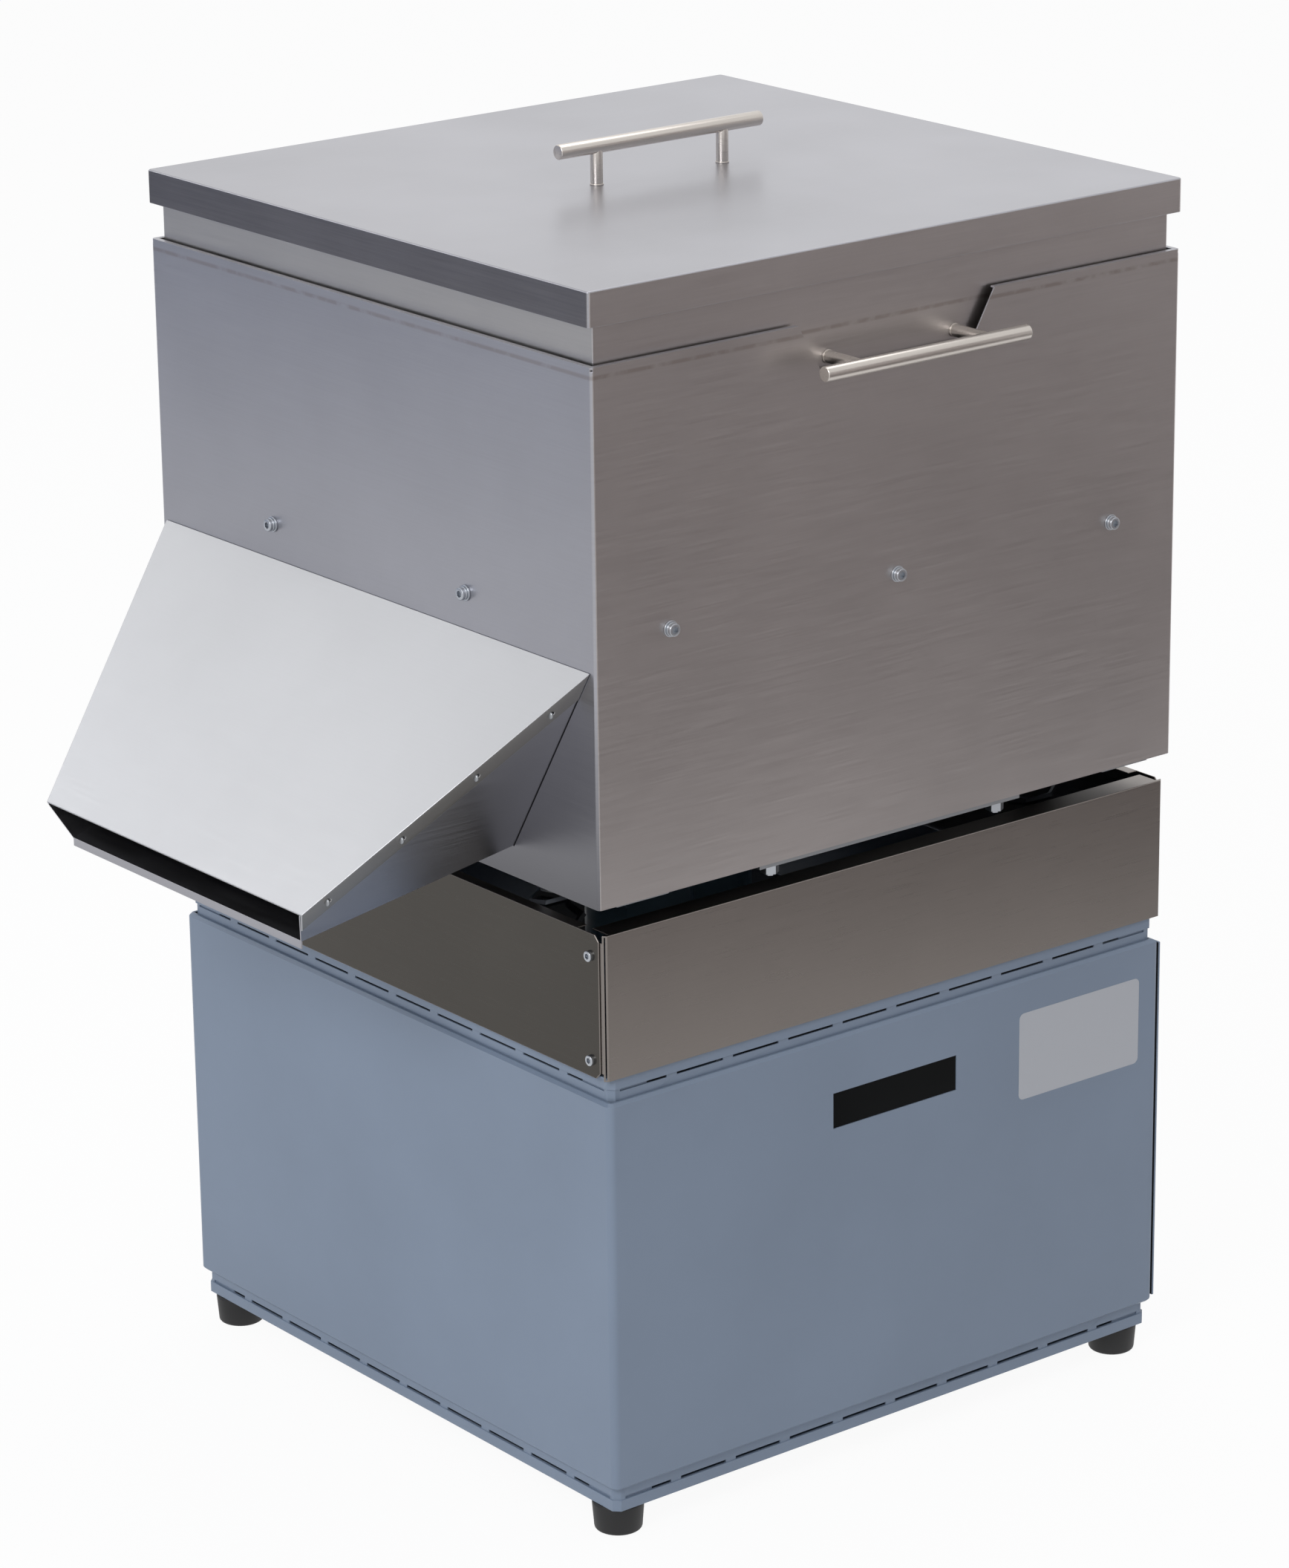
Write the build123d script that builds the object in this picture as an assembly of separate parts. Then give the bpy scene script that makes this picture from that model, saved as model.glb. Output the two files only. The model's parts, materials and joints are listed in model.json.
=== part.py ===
"""Vibrating flour sifting machine: base, spring frame, sifting body, chute, lift-out sieve and lid.

Millimetres, +Z up. X runs to the machine's right, Y to its rear, and the chute points to -Y.
The origin is on the floor, under the middle of the whole machine's outline, chute included.
"""

import math
import os
from collections import namedtuple

from build123d import *

# Sheet thicknesses
BASE_SHEET = 1.0
RING_SHEET = 1.2
FRAME_SHEET = 1.2
BODY_SHEET = 1.2
TRAY_SHEET = 1.0
HOPPER_SHEET = 0.8
LID_SHEET = 0.8
LEDGE_SHEET = 1.5
DECK_SHEET = 1.5
COVER_PLATE = 2.0

# Plan of the painted base, over its sheet
BASE_W = 576.0
BASE_D = 578.0
BASE_CORNER = 6.0
BASE_EDGE = 3.5
BASE_TOP_BEVEL = 2.5
BASE_BOTTOM_BEVEL = 2.0
BASE_INNER_BEVEL = 1.3
FOLD_ANGLE = 45.0

# How far each storey stands outside or inside the painted base, per side
FRAME_SIDE_STEP = -1.5
FRAME_END_STEP = 3.0
BODY_SIDE_STEP = 0.0
BODY_END_STEP = 7.25
LID_SIDE_STEP = -0.5
LID_END_STEP = 9.0
LID_EDGE = 0.9
HOPPER_INSET = 7.5
BODY_CORNER = 3.0

# Heights, from the floor up
FOOT_HEIGHT = 25.0
BAND_HEIGHT = 20.3
CASING_HEIGHT = 325.0
UPPER_BAND_HEIGHT = 19.0
FRAME_HEIGHT = 118.1
BODY_GAP = 22.2
BODY_HEIGHT = 420.0
COLLAR_HEIGHT = 29.6
LID_SKIRT = 27.3

# Sides of the prisms that stand for small or hidden round forms
SHANK_SIDES = 6
NUT_SIDES = 6
HEAD_SIDES = 6
SEAT_SIDES = 8
SHAFT_SIDES = 12
BAR_SIDES = 12
MOTOR_SIDES = 16
WIRE_SIDES = 5
CORNER_STEPS = 3

# Clearances
SEAT = 0.3
HOLE_PLAY = 0.3
RUNNING_PLAY = 0.05
BUTTON_PLAY = 0.25

# How far a cutting shape runs past the face it cuts
PAST = 1.0

FULL_TURN = 360.0

# Folded rings that show as stepped bands under and over the casing
RING_WEB = 45.0
RING_FLANGE = 42.0
RING_CORNER = 5.0
STRIP_HEIGHT = 9.5
POST_LEG = 35.0
POST_SHEET = 1.5

# Hand slots in the sides of the base
HAND_SLOT_W = 130.0
HAND_SLOT_H = 30.0
HAND_SLOT_DROP = 47.3

# Rear edge of the casing and its cover
REAR_FLANGE = 25.0
REAR_NOTCH = 6.0
COVER_SIDE_INSET = 1.5
COVER_END_INSET = 4.0
COVER_SCREW_EDGE = 13.0
COVER_SCREW_ROWS = (0.15, 0.5, 0.85)

# Feet
FOOT_TAPER = 4.5
FOOT_SOLE_DIA = 38.0
FOOT_EDGE_X = 26.0
FOOT_EDGE_Y = 23.0
FOOT_BOLT_REACH = 14.0
FOOT_WELL_DEPTH = 3.0
FOOT_WELL_PLAY = 2.0

# Starter with two push buttons, and the cable gland, on the rear cover
STARTER_W = 90.0
STARTER_D = 60.0
STARTER_H = 130.0
STARTER_X = -140.0
STARTER_DROP = 110.3
STARTER_NOSE_W = 54.0
STARTER_NOSE_H = 92.0
STARTER_NOSE_OUT = 3.0
STARTER_CORNER = 4.0
BUTTON_DIA = 22.0
BUTTON_PITCH = 42.0
BUTTON_OUT = 6.0
BUTTON_BORE_DEPTH = 14.0
BUTTON_TRAVEL = 3.0
BUTTON_BEVEL = 1.2
GLAND_X = 150.0
GLAND_RISE = 95.0
GLAND_THREAD_DIA = 20.0
GLAND_BORE_DIA = 11.0
GLAND_HEX = 25.0
GLAND_HEX_H = 6.0
GLAND_DOME_DIA = 23.0
GLAND_BEVEL = 3.0
GLAND_DOME_H = 15.0
GLAND_INSIDE = 10.0

# Stainless spring frame
FRAME_FLANGE = 30.0
FRAME_TOP_LIP = 22.0
FRAME_BEND = 3.0
FRAME_RELIEF = 6.0
FRAME_SCREW_EDGE = 17.0
FRAME_SCREW_RISE = 14.0
FRAME_SCREW_DROP = 19.4
END_PANEL_GAP = 5.7
END_PANEL_CORNER = 5.0
END_PANEL_LIP = 9.0
DECK_GAP = 0.3
DECK_HOLE_DIA = 230.0
DECK_BOLT_END = 92.0
DECK_BOLT_EDGE = 18.0

# Suspension springs
SPRING_EDGE_X = 111.5
SPRING_EDGE_Y = 42.0
SPRING_MEAN_DIA = 40.0
SPRING_WIRE = 6.0
SPRING_TURNS = 4.5
SPRING_STEPS_PER_TURN = 6
SEAT_DIA = 54.0
SEAT_THICK = 4.0
SPIGOT_DIA = 30.0
SPIGOT_H = 14.0
BEAM_WIDTH = 50.0
BEAM_THICK = 3.0

# Sifting body casing
BODY_FLANGE = 30.0
BODY_LIP = 4.5
BODY_RELIEF = 4.0
NOTCH_SIDE_ROOM = 12.0
NOTCH_FLARE = 23.0
NOTCH_DEPTH = 39.0
NOTCH_CORNER = 5.0

# Trough that collects the flour, and the chute cover over its front end
TROUGH_SILL = 25.4
TROUGH_RISE = 186.4
TROUGH_INSET = 7.0
TROUGH_SLOPE = 13.2
TROUGH_LEAN = 31.33
TROUGH_REACH = 182.0
TROUGH_PLAY = 0.7
OPENING_DROP = 3.0
OUTLET_LIP = 6.0
OUTLET_HEIGHT = 28.7
OUTLET_OVERHANG = 12.0
COVER_FLANGE = 18.0
RIVET_COUNT = 4
RIVET_HEAD_DIA = 8.0
RIVET_HEAD_H = 1.6
RIVET_DIA = 4.0
RIVET_MARGIN = 22.0
RIVET_DROP = 9.0

# Ledges that carry the sieve
LEDGE_ABOVE_TROUGH = 39.0
LEDGE_LEG = 27.0
LEDGE_SHELF = 25.0
SIDE_SCREW_END = 71.25
SIDE_SCREW_DROP = 17.0
END_SCREW_EDGE = 160.0
END_SCREW_DROP = 11.0

# Lift-out sieve
SIEVE_RIM_H = 18.0
SIEVE_RIM_W = 20.0
SIEVE_RIM_SHEET = 2.0
SIEVE_BAR = 4.0
SIEVE_BAR_COUNT = 3
MESH_WIRE = 0.8
MESH_PITCH = 24.0
MESH_EDGE = 16.0
HOPPER_FLANGE = 20.0

# Bar handles
BAR_DIA = 12.0
BAR_LENGTH = 205.0
BAR_LEG_DIA = 10.0
BAR_BEVEL = 0.7
BAR_HOLE_DEPTH = 12.0
BAR_SCREW_REACH = 8.0
BAR_LEG_SPACING = 128.0
LID_BAR_RISE = 31.0
SIDE_BAR_OUT = 41.5
SIDE_BAR_DROP = 30.1

# Vibration motor, vertical, hung through the motor plate
MOTOR_PLATE_D = 270.0
MOTOR_PLATE_THICK = 5.0
MOTOR_PLATE_PLAY = 4.0
PLATE_BOLT_EDGE = 15.0
PLATE_BOLT_END = 18.0
MOTOR_DIA = 140.0
MOTOR_WALL = 6.0
MOTOR_UP = 12.0
MOTOR_DOWN = 128.0
MOTOR_FLANGE_OUT = 36.0
MOTOR_FLANGE_THICK = 10.0
MOTOR_BOLT_OUT = 23.0
MOTOR_RIB_COUNT = 8
MOTOR_RIB_H = 7.0
MOTOR_RIB_W = 4.0
SHIELD_THICK = 12.0
WEIGHT_CAP_H = 44.0
WEIGHT_CAP_WALL = 2.0
WEIGHT_CAP_BEVEL = 8.0
SHAFT_DIA = 25.0
SHAFT_BEVEL = 1.5
SHIELD_HOLE_PLAY = 1.5
SHAFT_PAST_SHIELD = 36.0
BEARING_DIA = 52.0
BEARING_WIDTH = 15.0
STATOR_BORE_SHARE = 0.6
STATOR_LENGTH = 80.0
AIR_GAP = 1.0
WEIGHT_SHARE = 0.77
WEIGHT_HUB_RADIUS = 20.0
WEIGHT_THICK = 24.0
WEIGHT_CLEAR = 6.0
TERMINAL_TURN = 90.0
TERMINAL_W = 76.0
TERMINAL_D = 34.0
TERMINAL_H = 66.0
TERMINAL_CORNER = 5.0
TERMINAL_GLAND_HEX = 18.0
TERMINAL_GLAND_H = 12.0

# Metric fasteners: thread diameter, head width and height, nut width across flats and height
Fastener = namedtuple("Fastener", "thread head head_h across nut_h")
M5 = Fastener(5.0, 8.5, 5.0, 8.0, 4.0)
M5_LOW = Fastener(5.0, 8.5, 2.5, 8.0, 4.0)
M6 = Fastener(6.0, 10.0, 6.0, 10.0, 5.0)
M8 = Fastener(8.0, 13.0, 5.3, 13.0, 8.0)
M10 = Fastener(10.0, 16.0, 6.4, 16.0, 8.0)
THREAD_END = 2.0
TAPPED_REACH = 4.0

# Levels worked out from the heights
Z_BASE = FOOT_HEIGHT
Z_CASING = Z_BASE + BAND_HEIGHT
Z_CASING_TOP = Z_CASING + CASING_HEIGHT
Z_FRAME = Z_CASING_TOP + UPPER_BAND_HEIGHT
Z_FRAME_TOP = Z_FRAME + FRAME_HEIGHT
Z_BODY = Z_FRAME_TOP + BODY_GAP
Z_BODY_TOP = Z_BODY + BODY_HEIGHT
Z_LID = Z_BODY_TOP + COLLAR_HEIGHT
Z_LID_TOP = Z_LID + LID_SKIRT
Z_TROUGH_TOP = Z_BODY + TROUGH_RISE
Z_LEDGE = Z_TROUGH_TOP + LEDGE_ABOVE_TROUGH
Z_SIEVE = Z_LEDGE + SEAT
Z_MESH = Z_SIEVE + SIEVE_RIM_H
Z_HOPPER = Z_MESH + 2 * MESH_WIRE
Z_HOPPER_TOP = Z_LID_TOP - LID_SHEET - SEAT
Z_DECK = Z_FRAME + FRAME_SHEET
Z_DECK_TOP = Z_DECK + DECK_SHEET
Z_PLATE = Z_BODY - MOTOR_PLATE_THICK

# Half widths in X and half depths in Y
BASE_X = BASE_W / 2
BASE_Y = BASE_D / 2
BAND_X = BASE_X - BASE_EDGE - SEAT
BAND_Y = BASE_Y - BASE_EDGE - SEAT
FRAME_X = BASE_X + FRAME_SIDE_STEP
FRAME_Y = BASE_Y + FRAME_END_STEP
BODY_X = BASE_X + BODY_SIDE_STEP
BODY_Y = BASE_Y + BODY_END_STEP
BODY_IN_X = BODY_X - BODY_SHEET
BODY_IN_Y = BODY_Y - BODY_SHEET
HOPPER_X = BODY_X - HOPPER_INSET
HOPPER_Y = BODY_Y - HOPPER_INSET
LID_X = BASE_X + LID_SIDE_STEP
LID_Y = BASE_Y + LID_END_STEP

# Places along the sides, worked out from the ends they keep their distance from
COVER_REACH = TROUGH_REACH + OUTLET_OVERHANG
SPRING_X = FRAME_X - SPRING_EDGE_X
SPRING_Y = FRAME_Y - SPRING_EDGE_Y
DECK_BOLT_Y = FRAME_Y - DECK_BOLT_END
SIDE_SCREW_Y = BODY_Y - SIDE_SCREW_END
END_SCREW_X = BODY_X - END_SCREW_EDGE
PLATE_BOLT_Y = MOTOR_PLATE_D / 2 - PLATE_BOLT_END
TROUGH_TOP_X = BODY_X - TROUGH_INSET
NOTCH_FLOOR_Y = BAR_LEG_SPACING / 2 + NOTCH_SIDE_ROOM

# Radii inside the motor, worked out from its barrel
STATOR_RADIUS = MOTOR_DIA / 2 - MOTOR_WALL
STATOR_BORE_RADIUS = STATOR_RADIUS * STATOR_BORE_SHARE
WEIGHT_RADIUS = (MOTOR_DIA / 2 - WEIGHT_CAP_WALL) * WEIGHT_SHARE
MOTOR_FLANGE_RADIUS = MOTOR_DIA / 2 + MOTOR_FLANGE_OUT
MOTOR_BOLT_RADIUS = MOTOR_DIA / 2 + MOTOR_BOLT_OUT

# The outline in Y decides where the origin lies
Y_FRONT = -(BODY_Y + COVER_REACH)
Y_COVER = BASE_Y + COVER_PLATE
Y_REAR = Y_COVER + GLAND_HEX_H + GLAND_DOME_H
ORIGIN_Y = (Y_FRONT + Y_REAR) / 2


def block(x0, x1, y0, y1, z0, z1):
    """A box between two corners."""
    centre = Pos((x0 + x1) / 2, (y0 + y1) / 2, (z0 + z1) / 2)
    return centre * Box(abs(x1 - x0), abs(y1 - y0), abs(z1 - z0))


def column(half_x, half_y, corner, z0, z1):
    """An upright prism on the machine's axis, its corners rounded in a few straight steps."""
    points = []
    for quarter, (sx, sy) in enumerate(((1, 1), (-1, 1), (-1, -1), (1, -1))):
        for i in range(CORNER_STEPS + 1 if corner > 0 else 1):
            turn = math.pi / 2 * (quarter + i / CORNER_STEPS)
            x = sx * (half_x - corner) + corner * math.cos(turn)
            y = sy * (half_y - corner) + corner * math.sin(turn)
            points.append((x, y))
    return Pos(0, 0, z0) * extrude(make_face(Polyline(*points, close=True)), z1 - z0)


def fold_cut(thickness):
    """How much less a bevelled fold's bevel is on the inside of a sheet."""
    return thickness * math.tan(math.radians(FOLD_ANGLE / 2))


def bevelled_column(half_x, half_y, bevel, z0, z1):
    """An upright prism with its corners cut off, on the machine's axis."""
    outline = Rectangle(2 * half_x, 2 * half_y)
    return Pos(0, 0, z0) * extrude(chamfer(outline.vertices(), bevel), z1 - z0)


def rod(radius, start, length, direction=(0, 0, 1)):
    """A round bar from a start point along a direction."""
    plane = Plane(origin=start, z_dir=direction)
    return extrude(plane * Circle(radius), length)


def prism(sides, radius, start, length, direction=(0, 0, 1), flats=False):
    """A prism on a regular polygon. The radius is to its corners, or to its flats."""
    plane = Plane(origin=start, z_dir=direction)
    return extrude(plane * RegularPolygon(radius, sides, major_radius=not flats), length)


def pipe(sides, outer, inner, start, length, direction=(0, 0, 1)):
    """A prism with a like-sided hole."""
    plane = Plane(origin=start, z_dir=direction)
    return extrude(plane * (RegularPolygon(outer, sides) - RegularPolygon(inner, sides)), length)


def screw(size, head_sides, length, seat, direction):
    """A screw whose head sits on the seat point and whose shank runs against direction."""
    hexagonal = head_sides == NUT_SIDES
    top = prism(head_sides, size.head / 2, seat, size.head_h, direction, flats=hexagonal)
    return top + prism(SHANK_SIDES, size.thread / 2, seat, -length, direction)


def cap_screw(size, length, seat, direction):
    return screw(size, HEAD_SIDES, length, seat, direction)


def hex_bolt(size, length, seat, direction):
    return screw(size, NUT_SIDES, length, seat, direction)


def nut(size, start, direction):
    """A hexagon nut, loose on its shank."""
    plane = Plane(origin=start, z_dir=direction)
    bore = RegularPolygon(size.thread / 2 + RUNNING_PLAY, SHANK_SIDES, major_radius=False)
    outline = RegularPolygon(size.across / 2, NUT_SIDES, major_radius=False) - bore
    return extrude(plane * outline, size.nut_h)


def drill(thread, start, length, direction=(0, 0, 1)):
    """The clearance hole for a thread, as many-sided as the shanks."""
    return prism(SHANK_SIDES, thread / 2 + HOLE_PLAY, start, length, direction, flats=True)


def grid(xs, ys):
    """Every pair of an X and a Y place."""
    return [(x, y) for x in xs for y in ys]


def both(value):
    """A place and its mirror place."""
    return (-value, value)


def mirrored(shape):
    """A copy on the other side of the machine's middle plane."""
    return mirror(shape, Plane.YZ)


def group(shapes):
    """Separate solids that share one node."""
    return Compound(children=[s for shape in shapes for s in shape.solids()])


# Base


def foot_places():
    return grid(both(BASE_X - FOOT_EDGE_X), both(BASE_Y - FOOT_EDGE_Y))


def foot_bolt_seat():
    """How far up inside the foot its bolt's head sits."""
    return M10.head_h + FOOT_WELL_DEPTH


def rubber_feet():
    feet = []
    for x, y in foot_places():
        sole = Pos(x, y, 0) * RegularPolygon(FOOT_SOLE_DIA / 2, SHAFT_SIDES)
        cone = extrude(sole, FOOT_HEIGHT, taper=-FOOT_TAPER)
        bore = drill(M10.thread, (x, y, 0), FOOT_HEIGHT)
        well = prism(NUT_SIDES, M10.head / 2 + FOOT_WELL_PLAY, (x, y, 0), foot_bolt_seat(), flats=True)
        feet.append(cone - bore - well)
    return group(feet)


def foot_bolts():
    seat = foot_bolt_seat()
    length = FOOT_HEIGHT - seat + FOOT_BOLT_REACH
    return group(hex_bolt(M10, length, (x, y, seat), (0, 0, -1)) for x, y in foot_places())


def foot_nuts():
    z = Z_BASE + RING_SHEET
    return group(nut(M10, (x, y, z), (0, 0, 1)) for x, y in foot_places())


def ring_slab(inset, z0, z1):
    """The ring's outline set in by a distance, between two levels given in either order."""
    bevel = RING_CORNER - fold_cut(inset)
    return bevelled_column(BAND_X - inset, BAND_Y - inset, bevel, min(z0, z1), max(z0, z1))


def stepped_ring(z_flange, way):
    """A folded ring, up or down from its flange: an outer strip, then a web set in by the sheet."""
    t = RING_SHEET
    z_end = z_flange + way * RING_WEB
    z_step = z_flange + way * STRIP_HEIGHT
    z_inside = z_flange + way * t
    ring = ring_slab(0, z_flange, z_step) + ring_slab(t, z_flange, z_end)
    ring -= ring_slab(t, z_inside, z_step - way * t)
    ring -= ring_slab(2 * t, z_inside, z_end)
    low, high = min(z_flange, z_inside), max(z_flange, z_inside)
    return ring - column(BAND_X - RING_FLANGE, BAND_Y - RING_FLANGE, 0, low, high)


def base_bottom_frame():
    ring = stepped_ring(Z_BASE, 1)
    for x, y in foot_places():
        ring -= drill(M10.thread, (x, y, Z_BASE), RING_SHEET)
    return ring


def base_top_frame():
    ring = stepped_ring(Z_FRAME, -1)
    for x, y in deck_bolt_places():
        ring -= drill(M8.thread, (x, y, Z_FRAME - RING_SHEET), RING_SHEET)
    return ring


def base_corner_posts():
    inset = 2 * RING_SHEET
    x1 = BAND_X - inset
    y1 = BAND_Y - inset
    low, high = Z_BASE + RING_SHEET, Z_FRAME - RING_SHEET
    posts = []
    bevel = RING_CORNER - fold_cut(inset)
    solid = bevelled_column(x1, y1, bevel, low, high)
    solid -= bevelled_column(x1 - POST_SHEET, y1 - POST_SHEET, bevel - fold_cut(POST_SHEET), low, high)
    for sx, sy in grid((-1, 1), (-1, 1)):
        x, y = sx * x1, sy * y1
        corner = block(x, x - sx * POST_LEG, y, y - sy * POST_LEG, low, high)
        posts.append(solid & corner)
    return group(posts)


def end_edges(shape, top):
    """The edges round a shape's top face, or round its bottom face."""
    return shape.faces().sort_by(Axis.Z)[-1 if top else 0].edges()


def base_casing():
    """The painted wrap: front and sides in one bent sheet, rounded at its corners, top and bottom."""
    outer = column(BASE_X, BASE_Y, BASE_CORNER, Z_CASING, Z_CASING_TOP)
    outer = chamfer(end_edges(outer, 1), BASE_TOP_BEVEL)
    outer = chamfer(end_edges(outer, 0), BASE_BOTTOM_BEVEL)
    t = BASE_SHEET
    inner = column(BASE_X - t, BASE_Y - t, BASE_CORNER - t, Z_CASING + t, Z_CASING_TOP - t)
    inner = chamfer(end_edges(inner, 0) + end_edges(inner, 1), BASE_INNER_BEVEL)
    edge = BASE_EDGE + RING_SHEET
    mouth = column(BASE_X - edge, BASE_Y - edge, 0, Z_CASING, Z_CASING_TOP)
    wrap = outer - inner - mouth
    open_x = BASE_X - t - REAR_FLANGE
    wrap -= block(-open_x, open_x, 0, BASE_Y, Z_CASING, Z_CASING_TOP)
    slot_z = Z_CASING_TOP - HAND_SLOT_DROP
    half = HAND_SLOT_W / 2
    wrap -= block(-BASE_X, BASE_X, -half, half, slot_z - HAND_SLOT_H, slot_z)
    side = REAR_NOTCH * math.sqrt(2)
    for z, x in grid((Z_CASING, Z_CASING_TOP), both(BASE_X)):
        wrap -= Pos(x, BASE_Y, z) * Rot(45, 0, 0) * Box(2 * (REAR_FLANGE + t), side, side)
    for x, z in cover_screw_places():
        wrap -= drill(M5.thread, (x, BASE_Y - t, z), t, (0, 1, 0))
    return wrap


# Rear cover with the starter and the gland


def cover_screw_places():
    low, high = Z_CASING + COVER_END_INSET, Z_CASING_TOP - COVER_END_INSET
    return grid(both(BASE_X - COVER_SCREW_EDGE), [low + share * (high - low) for share in COVER_SCREW_ROWS])


def starter_z():
    return Z_CASING_TOP - STARTER_DROP


def rear_cover():
    x1 = BASE_X - COVER_SIDE_INSET
    low, high = Z_CASING + COVER_END_INSET, Z_CASING_TOP - COVER_END_INSET
    plate = block(-x1, x1, BASE_Y, Y_COVER, low, high)
    fold_x = BASE_X - BASE_SHEET - REAR_FLANGE - 2 * HOLE_PLAY
    fold_y = BAND_Y + 2 * SEAT
    plate += block(-fold_x, fold_x, fold_y, BASE_Y, high - COVER_PLATE, high)
    plate += block(-fold_x, fold_x, fold_y, BASE_Y, low, low + COVER_PLATE)
    z = starter_z()
    half_w, half_h = STARTER_NOSE_W / 2 + HOLE_PLAY, STARTER_NOSE_H / 2 + HOLE_PLAY
    plate -= block(STARTER_X - half_w, STARTER_X + half_w, BASE_Y, Y_COVER, z - half_h, z + half_h)
    gland_radius = GLAND_THREAD_DIA / 2 + HOLE_PLAY
    gland_start = (GLAND_X, BASE_Y, Z_BASE + GLAND_RISE)
    plate -= prism(SHAFT_SIDES, gland_radius, gland_start, COVER_PLATE, (0, 1, 0), flats=True)
    for x, zs in cover_screw_places():
        plate -= drill(M5.thread, (x, BASE_Y, zs), COVER_PLATE, (0, 1, 0))
    return plate


def rear_cover_screws():
    length = COVER_PLATE + BASE_SHEET + TAPPED_REACH
    return group(cap_screw(M5_LOW, length, (x, Y_COVER, z), (0, 1, 0))
                 for x, z in cover_screw_places())


def button_places():
    return (starter_z() + BUTTON_PITCH / 2, starter_z() - BUTTON_PITCH / 2)


def starter_box():
    z = starter_z()
    x0, x1 = STARTER_X - STARTER_W / 2, STARTER_X + STARTER_W / 2
    case = block(x0, x1, BASE_Y - STARTER_D, BASE_Y, z - STARTER_H / 2, z + STARTER_H / 2)
    case = chamfer(case.edges().filter_by(Axis.Y), STARTER_CORNER)
    nose_x, nose_z = STARTER_NOSE_W / 2, STARTER_NOSE_H / 2
    face = Y_COVER + STARTER_NOSE_OUT
    case += block(STARTER_X - nose_x, STARTER_X + nose_x, BASE_Y, face, z - nose_z, z + nose_z)
    for zb in button_places():
        bore = BUTTON_DIA / 2 + BUTTON_PLAY
        case -= prism(SHAFT_SIDES, bore, (STARTER_X, face, zb), BUTTON_BORE_DEPTH, (0, -1, 0), flats=True)
    return case


def push_button(z):
    """A round button, short of the bottom of its bore by its travel and a little more."""
    face = Y_COVER + STARTER_NOSE_OUT
    length = BUTTON_OUT + BUTTON_BORE_DEPTH - BUTTON_TRAVEL - 2 * SEAT
    cap = prism(SHAFT_SIDES, BUTTON_DIA / 2, (STARTER_X, face + BUTTON_OUT, z), length, (0, -1, 0))
    return chamfer(cap.faces().sort_by(Axis.Y)[-1].edges(), BUTTON_BEVEL)


def cable_gland():
    z = Z_BASE + GLAND_RISE
    start = (GLAND_X, BASE_Y - GLAND_INSIDE, z)
    thread = prism(SHAFT_SIDES, GLAND_THREAD_DIA / 2, start, GLAND_INSIDE + COVER_PLATE, (0, 1, 0))
    flats = prism(NUT_SIDES, GLAND_HEX / 2, (GLAND_X, Y_COVER, z), GLAND_HEX_H, (0, 1, 0), flats=True)
    dome_start = (GLAND_X, Y_COVER + GLAND_HEX_H, z)
    dome = prism(SHAFT_SIDES, GLAND_DOME_DIA / 2, dome_start, GLAND_DOME_H, (0, 1, 0))
    dome = chamfer(dome.faces().sort_by(Axis.Y)[-1].edges(), GLAND_BEVEL)
    return thread + flats + dome - rod(GLAND_BORE_DIA / 2, start, BASE_Y, (0, 1, 0))


def gland_nut():
    start = (GLAND_X, BASE_Y, Z_BASE + GLAND_RISE)
    body = prism(NUT_SIDES, GLAND_HEX / 2, start, GLAND_HEX_H, (0, -1, 0), flats=True)
    bore = GLAND_THREAD_DIA / 2 + RUNNING_PLAY
    return body - prism(SHAFT_SIDES, bore, start, GLAND_HEX_H, (0, -1, 0), flats=True)


# Stainless spring frame


def deck_bolt_places():
    return grid(both(FRAME_X - DECK_BOLT_EDGE), (-DECK_BOLT_Y, 0, DECK_BOLT_Y))


def frame_side_panel():
    """The right side: a web with upright flanges at its ends and lips inwards at the top and bottom."""
    t = FRAME_SHEET
    y1 = FRAME_Y - t
    x0 = FRAME_X - FRAME_FLANGE
    panel = block(x0, FRAME_X, -y1, y1, Z_FRAME, Z_FRAME_TOP)
    bends = panel.edges().filter_by(Axis.Z).group_by(Axis.X)[-1]
    panel = chamfer(bends, FRAME_BEND)
    panel = chamfer(panel.faces().sort_by(Axis.Z)[-1].edges().group_by(Axis.X)[-1], t / 2)
    panel -= block(x0 - PAST, FRAME_X - t, -(y1 - t), y1 - t, Z_FRAME + t, Z_FRAME_TOP - t)
    trim = FRAME_X - FRAME_TOP_LIP
    panel -= block(x0 - PAST, trim, -y1, y1, Z_FRAME_TOP - t, Z_FRAME_TOP)
    relief = FRAME_RELIEF
    for y in both(y1):
        end = y - relief if y > 0 else y + relief
        for z, z_in in ((Z_FRAME_TOP, Z_FRAME_TOP - relief), (Z_FRAME, Z_FRAME + relief)):
            panel -= block(x0 - PAST, FRAME_X - FRAME_BEND, y, end, z, z_in)
    for y in both(y1):
        for z in frame_screw_levels():
            panel -= drill(M5.thread, (FRAME_X - FRAME_SCREW_EDGE, y, z), t, (0, -1 if y > 0 else 1, 0))
    for x, y in deck_bolt_places():
        panel -= drill(M8.thread, (x, y, Z_FRAME), t)
    return panel


def frame_screw_levels():
    return (Z_FRAME + FRAME_SCREW_RISE, Z_FRAME_TOP - FRAME_SCREW_DROP)


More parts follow.
